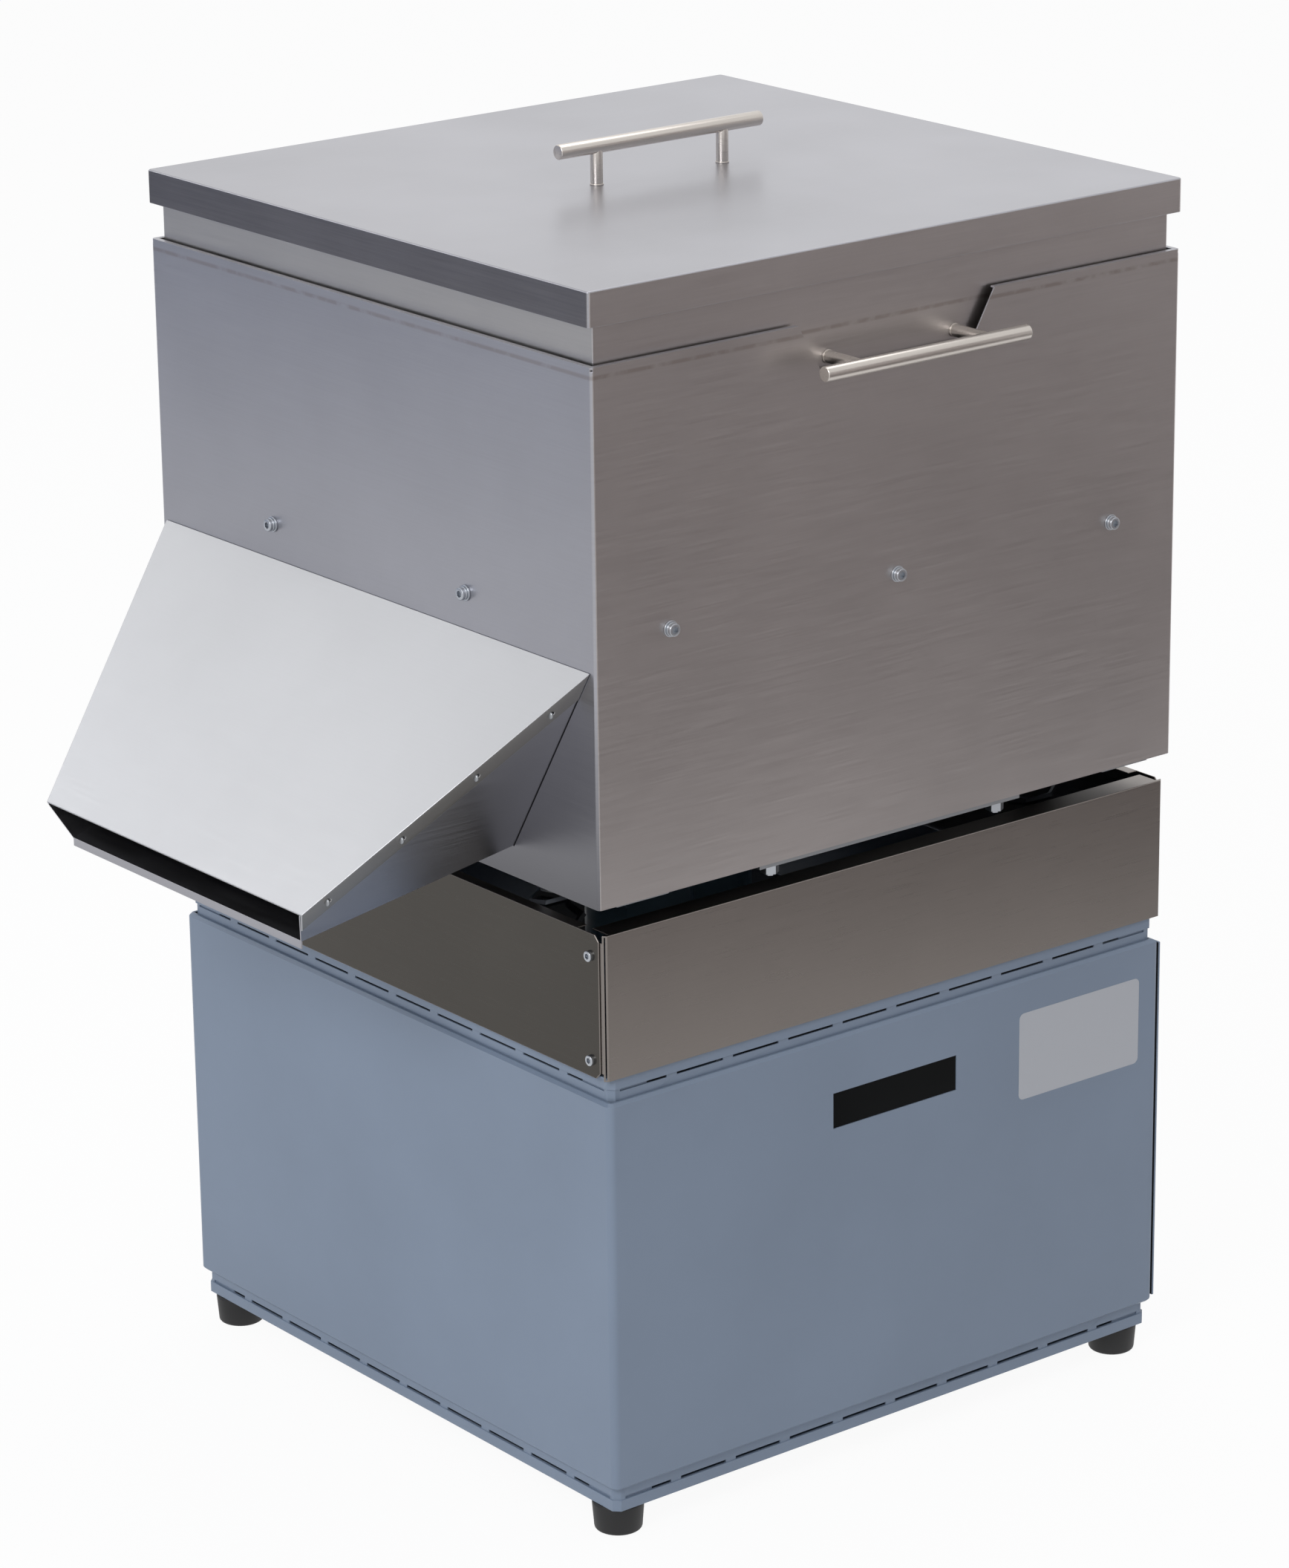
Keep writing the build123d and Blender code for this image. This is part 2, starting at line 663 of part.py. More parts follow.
def frame_end_panel():
    """The front plate, with its corners cut and a short lip inwards at the top."""
    t = FRAME_SHEET
    x1 = FRAME_X - END_PANEL_GAP
    low, high = Z_FRAME + t / 2, Z_FRAME_TOP - t / 2
    plate = block(-x1, x1, -FRAME_Y, -(FRAME_Y - t), low, high)
    plate = chamfer(plate.edges().filter_by(Axis.Y), END_PANEL_CORNER)
    lip_x = FRAME_X - FRAME_FLANGE - 2 * t
    y0, y1 = -(FRAME_Y - t), -(FRAME_Y - t - END_PANEL_LIP)
    plate += block(-lip_x, lip_x, y0, y1, high - t, high)
    for x in both(FRAME_X - FRAME_SCREW_EDGE):
        for z in frame_screw_levels():
            plate -= drill(M5.thread, (x, -FRAME_Y, z), t, (0, 1, 0))
    return plate


def frame_screw_places():
    xs = both(FRAME_X - FRAME_SCREW_EDGE)
    return [(x, y, z) for x in xs for y in both(FRAME_Y) for z in frame_screw_levels()]


def frame_screws():
    length = 2 * FRAME_SHEET + TAPPED_REACH
    screws = []
    for x, y, z in frame_screw_places():
        out = 1 if y > 0 else -1
        screws.append(cap_screw(M5, length, (x, y, z), (0, out, 0)))
    return group(screws)


def spring_deck():
    x1 = FRAME_X - FRAME_SHEET - DECK_GAP
    y1 = FRAME_Y - 2 * FRAME_SHEET - DECK_GAP
    deck = block(-x1, x1, -y1, y1, Z_DECK, Z_DECK_TOP)
    deck -= prism(MOTOR_SIDES, DECK_HOLE_DIA / 2, (0, 0, Z_DECK), DECK_SHEET)
    for x, y in deck_bolt_places():
        deck -= drill(M8.thread, (x, y, Z_DECK), DECK_SHEET)
    return deck


def deck_bolts():
    length = DECK_SHEET + FRAME_SHEET + RING_SHEET + M8.nut_h + THREAD_END
    return group(hex_bolt(M8, length, (x, y, Z_DECK_TOP), (0, 0, 1))
                 for x, y in deck_bolt_places())


def deck_nuts():
    z = Z_FRAME - RING_SHEET
    return group(nut(M8, (x, y, z), (0, 0, -1)) for x, y in deck_bolt_places())


# Suspension


def spring_places():
    return grid(both(SPRING_X), both(SPRING_Y))


def beam_bottom():
    return Z_BODY - BEAM_THICK


def lower_spring_seats():
    seats = []
    for x, y in spring_places():
        disc = prism(SEAT_SIDES, SEAT_DIA / 2, (x, y, Z_DECK_TOP), SEAT_THICK)
        seats.append(disc + prism(SEAT_SIDES, SPIGOT_DIA / 2, (x, y, Z_DECK_TOP + SEAT_THICK), SPIGOT_H))
    return group(seats)


def upper_spring_seats():
    top = beam_bottom()
    seats = []
    for x, y in spring_places():
        disc = prism(SEAT_SIDES, SEAT_DIA / 2, (x, y, top), -SEAT_THICK)
        seats.append(disc + prism(SEAT_SIDES, SPIGOT_DIA / 2, (x, y, top - SEAT_THICK), -SPIGOT_H))
    return group(seats)


def suspension_springs():
    """Coil springs with a many-sided wire, lofted from section to section round each turn."""
    radius = SPRING_MEAN_DIA / 2
    wire = SPRING_WIRE / 2
    low = Z_DECK_TOP + SEAT_THICK + wire + SEAT
    high = beam_bottom() - SEAT_THICK - wire - SEAT
    steps = int(SPRING_TURNS * SPRING_STEPS_PER_TURN)
    sections = []
    for i in range(steps + 1):
        angle = 2 * math.pi * i / SPRING_STEPS_PER_TURN
        along = Vector(-math.sin(angle), math.cos(angle), 0)
        out = Vector(math.cos(angle), math.sin(angle), 0)
        place = out * radius + Vector(0, 0, low + (high - low) * i / steps)
        plane = Plane(origin=place, x_dir=out, z_dir=along)
        sections.append(plane * RegularPolygon(wire, WIRE_SIDES))
    coil = loft([s.face() for s in sections], ruled=True)
    return group(Pos(x, y, 0) * coil for x, y in spring_places())


def spring_beams():
    x1 = BODY_IN_X - MOTOR_PLATE_PLAY
    beams = []
    for y in both(SPRING_Y):
        beams.append(block(-x1, x1, y - BEAM_WIDTH / 2, y + BEAM_WIDTH / 2, beam_bottom(), Z_BODY))
    return group(beams)


# Sifting body


def lean_x(z):
    """Half width of the trough's outer face at a height."""
    return TROUGH_TOP_X - (Z_TROUGH_TOP - z) * math.tan(math.radians(TROUGH_LEAN))


def lean_prism(shift, y0, y1, z0, z1):
    """The trough's leaning cross-section, run along Y, moved sideways by shift."""
    low, high = lean_x(z0) + shift, lean_x(z1) + shift
    return along_y([(low, z0), (high, z1), (-high, z1), (-low, z0)], y0, y1)


def along_y(points, y0, y1):
    """A prism from an outline of X and Z, run from y0 to y1."""
    plane = Plane(origin=(0, y0, 0), x_dir=(1, 0, 0), z_dir=(0, -1, 0))
    return extrude(plane * make_face(Polyline(*points, close=True)), -(y1 - y0))


def along_x(points, half):
    """A prism from an outline of Y and Z, run over both sides of the middle."""
    plane = Plane(origin=(-half, 0, 0), x_dir=(0, 1, 0), z_dir=(1, 0, 0))
    return extrude(plane * make_face(Polyline(*points, close=True)), 2 * half)


def floor_z(y):
    """Height of the trough's underside at a place along Y."""
    return Z_BODY + TROUGH_SILL + (y + BODY_Y) * math.tan(math.radians(TROUGH_SLOPE))


def cover_fall():
    """The chute cover's slope as a rise over its run, down from the body's front to the outlet's top."""
    z_outlet = floor_z(-(BODY_Y + TROUGH_REACH)) + OUTLET_HEIGHT
    return (Z_TROUGH_TOP - z_outlet) / COVER_REACH


def cover_cos():
    return math.cos(math.atan(cover_fall()))


def cover_z(y):
    """Height of the chute cover's upper face at a place along Y."""
    return Z_TROUGH_TOP + (y + BODY_Y) * cover_fall()


def outlet_points():
    """The outlet's lower and upper outer corners, as Y and Z."""
    y_low, y_high = -(BODY_Y + TROUGH_REACH), -(BODY_Y + COVER_REACH)
    return (y_low, floor_z(y_low)), (y_high, cover_z(y_high))


def body_casing():
    t = BODY_SHEET
    walls = column(BODY_X, BODY_Y, BODY_CORNER, Z_BODY, Z_BODY_TOP)
    hollow = column(BODY_IN_X, BODY_IN_Y, BODY_CORNER - t, Z_BODY + t, Z_BODY_TOP - t)
    floor_hole = column(BODY_X - BODY_FLANGE, BODY_Y - BODY_FLANGE, 0, Z_BODY, Z_BODY + t)
    mouth = column(BODY_X - BODY_LIP, BODY_Y - BODY_LIP, 0, Z_BODY_TOP - t, Z_BODY_TOP)
    casing = walls - hollow - floor_hole - mouth
    casing -= chute_opening()
    casing -= handle_notches()
    for x, y in grid(both(BODY_X), both(BODY_Y)):
        casing -= Pos(x, y, Z_BODY_TOP - 2 * t) * Box(BODY_RELIEF, BODY_RELIEF, t)
    for seat, out in ledge_screw_places():
        casing -= drill(M6.thread, seat, t, [-c for c in out])
    for x, y in plate_bolt_places():
        casing -= drill(M8.thread, (x, y, Z_BODY), t)
    return casing


def chute_opening():
    """The tapered hole in the front wall that the trough runs out through."""
    play = TROUGH_PLAY / math.cos(math.radians(TROUGH_LEAN))
    low = floor_z(-BODY_Y) - TROUGH_PLAY
    high = Z_TROUGH_TOP - OPENING_DROP
    return lean_prism(play, -BODY_Y, -BODY_IN_Y, low, high)


def handle_notches():
    """Openings in the top of both side walls that the side handles drop into."""
    y_floor, y_top = NOTCH_FLOOR_Y, NOTCH_FLOOR_Y + NOTCH_FLARE
    z0 = Z_BODY_TOP - NOTCH_DEPTH
    notch = along_x([(-y_top, Z_BODY_TOP), (y_top, Z_BODY_TOP), (y_floor, z0), (-y_floor, z0)], BODY_X)
    return fillet(notch.edges().filter_by(Axis.X).group_by(Axis.Z)[0], NOTCH_CORNER)


def ledge_screw_places():
    """Where each M6 screw enters the casing, and the way it points out."""
    places = []
    for side in (-1, 1):
        for y in (-SIDE_SCREW_Y, 0, SIDE_SCREW_Y):
            places.append(((side * BODY_X, y, Z_LEDGE - SIDE_SCREW_DROP), (side, 0, 0)))
    for end in (-1, 1):
        for x in both(END_SCREW_X):
            places.append(((x, end * BODY_Y, Z_LEDGE - END_SCREW_DROP), (0, end, 0)))
    return places


def stepped(point, direction, distance):
    """A point moved along a direction."""
    return tuple(p + d * distance for p, d in zip(point, direction))


def body_inner_end():
    """How far forward a square edge reaches inside the casing, clear of the rounded corner."""
    return BODY_IN_Y - (BODY_CORNER - BODY_SHEET)


def flour_trough():
    """The sloping tray under the sieve, which runs out through the front wall to a lip."""
    t = TRAY_SHEET
    (y_low, z_low), (y_high, z_high) = outlet_points()
    drop = t / cover_cos()
    shift = t / math.cos(math.radians(TROUGH_LEAN))
    y_wall = -BODY_Y - SEAT
    y_in, y_back = -body_inner_end(), BODY_IN_Y
    z_neck = Z_TROUGH_TOP - 2 * OPENING_DROP
    z_rim = z_flange_top()
    side = [
        (y_back, floor_z(y_back)), (y_low, z_low), (y_high, z_high - drop),
        (y_wall, cover_z(y_wall) - drop), (y_wall, z_neck), (y_in, z_neck), (y_in, z_rim), (y_back, z_rim),
    ]
    z_bend = Z_TROUGH_TOP + (BODY_IN_X - TROUGH_TOP_X) / math.tan(math.radians(TROUGH_LEAN))
    z_under = z_low - OUTLET_LIP
    x_under = lean_x(z_under)
    outline = [
        (x_under, z_under), (BODY_IN_X, z_bend), (BODY_IN_X, z_rim),
        (-BODY_IN_X, z_rim), (-BODY_IN_X, z_bend), (-x_under, z_under),
    ]
    tray = along_y(outline, y_high, y_back) & along_x(side, BODY_X)
    rear_corners = tray.edges().filter_by(Axis.Z).group_by(Axis.Y)[-1]
    tray = fillet(rear_corners, BODY_CORNER - BODY_SHEET + SEAT)
    room = [
        (x_under - shift, z_under), (BODY_IN_X - t, z_bend - t / 2), (BODY_IN_X - t, z_rim + t),
        (-BODY_IN_X + t, z_rim + t), (-BODY_IN_X + t, z_bend - t / 2), (-x_under + shift, z_under),
    ]
    lift = t / math.cos(math.radians(TROUGH_SLOPE))
    far = y_high - PAST
    rear = y_back - t
    above = [(rear, floor_z(rear) + lift), (far, floor_z(far) + lift), (far, z_rim + t), (rear, z_rim + t)]
    tray -= along_y(room, far, y_back) & along_x(above, BODY_X)
    lip_x = lean_x(z_low)
    tray += block(-lip_x, lip_x, y_low, y_low + t, z_under, z_low + t / 2)
    return tray - side_screw_holes(t, BODY_IN_X)


def z_flange_top():
    return Z_LEDGE - LEDGE_SHEET - SEAT


def side_screw_holes(depth, face_x):
    """Clearance holes for the side screws, through a sheet that lies against the side walls."""
    holes = []
    for (x, y, z), out in ledge_screw_places():
        if out[0]:
            holes.append(drill(M6.thread, (out[0] * face_x, y, z), depth, (-out[0], 0, 0)))
        elif out[1] > 0:
            holes.append(drill(M6.thread, (x, BODY_IN_Y, z), depth, (0, -1, 0)))
    return Compound(children=holes)


def chute_cover():
    """The chute's bright top: a sloping plate with flanges folded down outside the trough."""
    t = TRAY_SHEET
    (y_low, z_low), (y_high, z_high) = outlet_points()
    y_wall = -BODY_Y - SEAT
    drop = COVER_FLANGE / cover_cos()
    thick = t / cover_cos()
    shift = t / math.cos(math.radians(TROUGH_LEAN))
    z_wall = cover_z(y_wall)
    low = z_low - OUTLET_LIP
    high = Z_TROUGH_TOP
    outline = [(y_high, z_high), (y_wall, z_wall), (y_wall, z_wall - drop), (y_high, z_high - drop)]
    slab = along_x(outline, BODY_X)
    cover = slab & lean_prism(shift, y_high, y_wall, low, high)
    y0, y1 = y_high - PAST, y_wall + PAST
    under = along_x([(y0, cover_z(y0) - thick), (y1, cover_z(y1) - thick), (y1, low), (y0, low)], BODY_X)
    cover -= under & lean_prism(0, y0, y1, low - PAST, high + PAST)
    cover_side = [(y_high, z_high), (y_wall, z_wall), (y_wall, low), (y_low, low), (y_low, z_low)]
    cover &= along_x(cover_side, BODY_X)
    return cover - rivet_holes()


def rivet_places():
    """The outer face of the cover's flanges, at each rivet, and the way the flange faces."""
    lean = math.radians(TROUGH_LEAN)
    shift = TRAY_SHEET / math.cos(lean)
    y0, y1 = -BODY_Y - RIVET_MARGIN, -(BODY_Y + COVER_REACH) + RIVET_MARGIN
    drop = RIVET_DROP / cover_cos()
    places = []
    for side in (-1, 1):
        for i in range(RIVET_COUNT):
            y = y0 + (y1 - y0) * i / (RIVET_COUNT - 1)
            z = cover_z(y) - drop
            out = (side * math.cos(lean), 0, -math.sin(lean))
            places.append(((side * (lean_x(z) + shift), y, z), out))
    return places


def chute_rivets():
    rivets = []
    for seat, out in rivet_places():
        head = prism(HEAD_SIDES, RIVET_HEAD_DIA / 2, seat, RIVET_HEAD_H, out)
        rivets.append(head + prism(SHANK_SIDES, RIVET_DIA / 2, seat, -2 * TRAY_SHEET, out))
    return group(rivets)


def rivet_holes():
    holes = []
    for seat, out in rivet_places():
        start = stepped(seat, out, PAST)
        holes.append(drill(RIVET_DIA, start, PAST + 3 * TRAY_SHEET, [-c for c in out]))
    return Compound(children=holes)


def sieve_ledges():
    """Four angles screwed inside the casing, with their shelves level, that the sieve sits on."""
    t = LEDGE_SHEET
    low = Z_LEDGE - LEDGE_LEG
    x_side = BODY_IN_X - TRAY_SHEET
    y_rear = BODY_IN_Y - TRAY_SHEET
    y_front = BODY_IN_Y
    y_side = body_inner_end()
    ledges = []
    for side in (-1, 1):
        x = side * x_side
        leg = block(x, x - side * t, -y_side, y_side, low, Z_LEDGE)
        shelf = block(x, x - side * LEDGE_SHELF, -y_side, y_side, Z_LEDGE - t, Z_LEDGE)
        ledges.append(leg + shelf)
    x_end = x_side - LEDGE_SHELF - SEAT
    for y, end in ((-y_front, -1), (y_rear, 1)):
        leg = block(-x_end, x_end, y, y - end * t, low, Z_LEDGE)
        shelf = block(-x_end, x_end, y, y - end * LEDGE_SHELF, Z_LEDGE - t, Z_LEDGE)
        ledges.append(leg + shelf)
    holes = []
    for (x, y, z), out in ledge_screw_places():
        holes.append(drill(M6.thread, (x, y, z), BODY_SHEET + TRAY_SHEET + t, [-c for c in out]))
    return group(ledge - Compound(children=holes) for ledge in ledges)


def ledge_stack(out):
    """Sheet between a screw's head and its nut: the wall, the tray's flange if any, and the ledge."""
    tray = 0 if out[1] < 0 else TRAY_SHEET
    return BODY_SHEET + tray + LEDGE_SHEET


def ledge_screws():
    screws = []
    for seat, out in ledge_screw_places():
        length = ledge_stack(out) + M6.nut_h + THREAD_END
        screws.append(cap_screw(M6, length, seat, out))
    return group(screws)


def ledge_nuts():
    nuts = []
    for seat, out in ledge_screw_places():
        start = stepped(seat, out, -ledge_stack(out))
        nuts.append(nut(M6, start, [-c for c in out]))
    return group(nuts)


# Motor


def plate_bolt_places():
    return grid(both(BODY_X - PLATE_BOLT_EDGE), both(PLATE_BOLT_Y))


def motor_bolt_places():
    """The four bolts of the motor's flange, on the diagonals."""
    leg = MOTOR_BOLT_RADIUS / math.sqrt(2)
    return grid(both(leg), both(leg))


def motor_plate():
    x1 = BODY_IN_X - MOTOR_PLATE_PLAY
    plate = block(-x1, x1, -MOTOR_PLATE_D / 2, MOTOR_PLATE_D / 2, Z_PLATE, Z_BODY)
    plate -= prism(MOTOR_SIDES, MOTOR_DIA / 2 + MOTOR_RIB_H, (0, 0, Z_PLATE), MOTOR_PLATE_THICK)
    for x, y in plate_bolt_places():
        plate -= drill(M8.thread, (x, y, Z_PLATE), MOTOR_PLATE_THICK)
    for x, y in motor_bolt_places():
        plate -= drill(M10.thread, (x, y, Z_PLATE), MOTOR_PLATE_THICK)
    return plate


def motor_plate_bolts():
    length = BODY_SHEET + MOTOR_PLATE_THICK + M8.nut_h + THREAD_END
    z = Z_BODY + BODY_SHEET
    return group(hex_bolt(M8, length, (x, y, z), (0, 0, 1)) for x, y in plate_bolt_places())


def motor_plate_nuts():
    return group(nut(M8, (x, y, Z_PLATE), (0, 0, -1)) for x, y in plate_bolt_places())


def motor_levels():
    """Bottom and top of the motor's barrel."""
    return Z_PLATE - MOTOR_DOWN, Z_BODY + MOTOR_UP


def motor_ends():
    """Each end face of the barrel, and the sign of the way out of it."""
    low, high = motor_levels()
    return ((high, 1), (low, -1))


def motor_housing():
    """The barrel with its flange and cooling ribs, which leave room for the terminal box at the rear."""
    low, high = motor_levels()
    inner = STATOR_RADIUS
    barrel = pipe(MOTOR_SIDES, MOTOR_DIA / 2, inner, (0, 0, low), high - low)
    flange = pipe(MOTOR_SIDES, MOTOR_FLANGE_RADIUS, inner, (0, 0, Z_PLATE), -MOTOR_FLANGE_THICK)
    for x, y in motor_bolt_places():
        flange -= drill(M10.thread, (x, y, Z_PLATE - MOTOR_FLANGE_THICK), MOTOR_FLANGE_THICK)
    out = MOTOR_DIA / 2 + MOTOR_RIB_H
    half = MOTOR_RIB_W / 2
    rib = block(inner + PAST, out, -half, half, low + SHIELD_THICK, Z_PLATE - MOTOR_FLANGE_THICK)
    pitch = FULL_TURN / MOTOR_RIB_COUNT
    for i in range(MOTOR_RIB_COUNT):
        turn = pitch * (i + 0.5)
        if abs(turn - TERMINAL_TURN) > pitch:
            barrel += Rot(0, 0, turn) * rib
    return barrel + flange


def motor_end_shields():
    """The two plates that close the barrel, each with a seat for a bearing."""
    inner = STATOR_RADIUS - HOLE_PLAY
    shields = []
    for face, out in motor_ends():
        shield = prism(MOTOR_SIDES, MOTOR_DIA / 2, (0, 0, face), out * SHIELD_THICK)
        shield += prism(MOTOR_SIDES, inner, (0, 0, face), -out * SHIELD_THICK / 2)
        shield -= prism(SHAFT_SIDES, BEARING_DIA / 2, bearing_start(face, out), out * BEARING_WIDTH)
        through = (0, 0, face - out * SHIELD_THICK)
        shield -= prism(SEAT_SIDES, SHAFT_DIA / 2 + SHIELD_HOLE_PLAY, through, out * 3 * SHIELD_THICK)
        shields.append(shield)
    return group(shields)


def bearing_start(face, out):
    """The inner end of the bearing's seat in an end shield."""
    return (0, 0, face - out * SHIELD_THICK / 2)


def motor_bearings():
    rings = []
    for face, out in motor_ends():
        start, width = bearing_start(face, out), out * BEARING_WIDTH
        ring = prism(SHAFT_SIDES, BEARING_DIA / 2, start, width)
        rings.append(ring - prism(SHAFT_SIDES, SHAFT_DIA / 2 + RUNNING_PLAY, start, width, flats=True))
    return group(rings)


def motor_caps():
    """Thin covers over the eccentric weights, one at each end, with a bevelled rim."""
    caps = []
    for face, out in motor_ends():
        start = (0, 0, face + out * SHIELD_THICK)
        cap = prism(MOTOR_SIDES, MOTOR_DIA / 2, start, out * WEIGHT_CAP_H)
        depth = out * (WEIGHT_CAP_H - WEIGHT_CAP_WALL)
        room = prism(MOTOR_SIDES, MOTOR_DIA / 2 - WEIGHT_CAP_WALL, start, depth)
        cap = chamfer(end_edges(cap, out > 0), WEIGHT_CAP_BEVEL)
        room = chamfer(end_edges(room, out > 0), WEIGHT_CAP_BEVEL)
        caps.append(cap - room)
    return group(caps)


def motor_middle():
    low, high = motor_levels()
    return (low + high) / 2


def motor_stator():
    z = motor_middle() - STATOR_LENGTH / 2
    return pipe(MOTOR_SIDES, STATOR_RADIUS, STATOR_BORE_RADIUS, (0, 0, z), STATOR_LENGTH)


def motor_terminal_box():
    """The box on the barrel's rear, with its own cable gland at the bottom."""
    z = motor_middle() - MOTOR_FLANGE_THICK
    y0 = MOTOR_DIA / 2 * math.cos(math.pi / MOTOR_SIDES)
    half_w, half_h = TERMINAL_W / 2, TERMINAL_H / 2
    box = block(-half_w, half_w, 0, y0 + TERMINAL_D, z - half_h, z + half_h)
    box = chamfer(box.edges().filter_by(Axis.Y), TERMINAL_CORNER)
    box -= prism(MOTOR_SIDES, MOTOR_DIA / 2, (0, 0, z - TERMINAL_H), 2 * TERMINAL_H)
    gland = (0, y0 + TERMINAL_D / 2, z - half_h)
    return box + prism(NUT_SIDES, TERMINAL_GLAND_HEX / 2, gland, -TERMINAL_GLAND_H, flats=True)


def motor_bolts():
    length = MOTOR_PLATE_THICK + MOTOR_FLANGE_THICK + M10.nut_h + THREAD_END
    return group(hex_bolt(M10, length, (x, y, Z_BODY), (0, 0, 1))
                 for x, y in motor_bolt_places())


def motor_nuts():
    z = Z_PLATE - MOTOR_FLANGE_THICK
    return group(nut(M10, (x, y, z), (0, 0, -1)) for x, y in motor_bolt_places())


def rotor_shaft():
    low, high = motor_levels()
    reach = SHIELD_THICK + SHAFT_PAST_SHIELD
    shaft = prism(SHAFT_SIDES, SHAFT_DIA / 2, (0, 0, low - reach), high - low + 2 * reach)
    return chamfer(end_edges(shaft, 0) + end_edges(shaft, 1), SHAFT_BEVEL)


def rotor_core():
    z = motor_middle() - STATOR_LENGTH / 2
    core = prism(MOTOR_SIDES, STATOR_BORE_RADIUS - AIR_GAP, (0, 0, z), STATOR_LENGTH)
    return core - prism(SHAFT_SIDES, SHAFT_DIA / 2, (0, 0, z), STATOR_LENGTH)


def eccentric_weights():
    """A half-round weight at each end of the shaft, both to the same side."""
    weights = []
    for face, out in motor_ends():
        start = (0, 0, face + out * (SHIELD_THICK + WEIGHT_CLEAR))
        thick = out * WEIGHT_THICK
        sector = prism(MOTOR_SIDES, WEIGHT_RADIUS, start, thick)
        sector &= block(0, WEIGHT_RADIUS, -WEIGHT_RADIUS, WEIGHT_RADIUS, start[2], start[2] + thick)
        hub = prism(SEAT_SIDES, WEIGHT_HUB_RADIUS, start, thick)
        weights.append(sector + hub - prism(SHAFT_SIDES, SHAFT_DIA / 2, start, thick))
    return group(weights)


# Lift-out sieve with its hopper


def sieve_rim():
    """An angle ring: its upright leg stands on the ledges, its flat leg carries the mesh."""
    t = SIEVE_RIM_SHEET
    ring = column(HOPPER_X, HOPPER_Y, 0, Z_SIEVE, Z_MESH)
    ring -= column(HOPPER_X - t, HOPPER_Y - t, 0, Z_SIEVE, Z_MESH - t)
    return ring - column(HOPPER_X - SIEVE_RIM_W, HOPPER_Y - SIEVE_RIM_W, 0, Z_SIEVE, Z_MESH)


def sieve_support_bars():
    x1 = HOPPER_X - SIEVE_RIM_SHEET
    z0 = Z_SIEVE
    z1 = Z_MESH - SIEVE_RIM_SHEET
    step = 2 * HOPPER_Y / (SIEVE_BAR_COUNT + 1)
    bars = []
    for i in range(SIEVE_BAR_COUNT):
        y = -HOPPER_Y + step * (i + 1)
        bar = block(-x1, x1, y - SIEVE_BAR / 2, y + SIEVE_BAR / 2, z0, z1)
        inner = HOPPER_X - SIEVE_RIM_W
        bar += block(-inner, inner, y - SIEVE_BAR / 2, y + SIEVE_BAR / 2, z1, Z_MESH)
        bars.append(bar)
    return group(bars)


def sieve_mesh():
    """The wire cloth, drawn at a wide pitch: wires along Y with wires along X lying on them."""
    x1, y1 = HOPPER_X - MESH_EDGE, HOPPER_Y - MESH_EDGE
    wire = MESH_WIRE
    wires = []
    for x in wire_places(x1):
        wires.append(block(x - wire / 2, x + wire / 2, -y1, y1, Z_MESH, Z_MESH + wire))
    for y in wire_places(y1):
        wires.append(block(-x1, x1, y - wire / 2, y + wire / 2, Z_MESH + wire, Z_MESH + 2 * wire))
    return group(wires)


def wire_places(half_span):
    count = int(2 * half_span // MESH_PITCH)
    return [(i - (count - 1) / 2) * MESH_PITCH for i in range(count)]


def hopper_walls():
    t = HOPPER_SHEET
    walls = column(HOPPER_X, HOPPER_Y, t, Z_HOPPER, Z_HOPPER_TOP)
    walls -= column(HOPPER_X - t, HOPPER_Y - t, 0, Z_HOPPER + t, Z_HOPPER_TOP)
    walls -= column(HOPPER_X - HOPPER_FLANGE, HOPPER_Y - HOPPER_FLANGE, 0, Z_HOPPER, Z_HOPPER + t)
    for x, y in handle_screw_places():
        side = 1 if x > 0 else -1
        walls -= drill(M5.thread, (side * HOPPER_X, y, side_bar_z()), t, (-side, 0, 0))
    return walls


def side_bar_z():
    return Z_BODY_TOP - SIDE_BAR_DROP


def legged_handle(rise):
    """A bar along Y at the origin, on two legs that run down along -Z and have a threaded hole each."""
    bar = prism(BAR_SIDES, BAR_DIA / 2, (0, -BAR_LENGTH / 2, 0), BAR_LENGTH, (0, 1, 0))
    ends = bar.faces().sort_by(Axis.Y)
    handle = chamfer(ends[0].edges() + ends[-1].edges(), BAR_BEVEL)
    for y in both(BAR_LEG_SPACING / 2):
        handle += prism(BAR_SIDES, BAR_LEG_DIA / 2, (0, y, 0), rise, (0, 0, -1))
        handle -= drill(M5.thread, (0, y, -rise), BAR_HOLE_DEPTH)
    return handle


def side_handle():
    """The handle on the hopper's right wall, its legs level."""
    return Pos(HOPPER_X + SIDE_BAR_OUT, 0, side_bar_z()) * Rot(0, 90, 0) * legged_handle(SIDE_BAR_OUT)


def handle_screw_places():
    return grid(both(HOPPER_X), both(BAR_LEG_SPACING / 2))


def side_handle_screws():
    screws = []
    for x, y in handle_screw_places():
        side = 1 if x > 0 else -1
        seat = (x - side * HOPPER_SHEET, y, side_bar_z())
        screws.append(cap_screw(M5_LOW, HOPPER_SHEET + BAR_SCREW_REACH, seat, (-side, 0, 0)))
    return group(screws)


# Lid


def lid_shell():
    t = LID_SHEET
    shell = column(LID_X, LID_Y, BODY_CORNER, Z_LID, Z_LID_TOP)
    shell = chamfer(end_edges(shell, 1), LID_EDGE)
    shell -= column(LID_X - t, LID_Y - t, BODY_CORNER - t, Z_LID, Z_LID_TOP - t)
    for y in both(BAR_LEG_SPACING / 2):
        shell -= drill(M5.thread, (0, y, Z_LID_TOP - t), t)
    return shell


def lid_handle():
    return Pos(0, 0, Z_LID_TOP + LID_BAR_RISE) * legged_handle(LID_BAR_RISE)


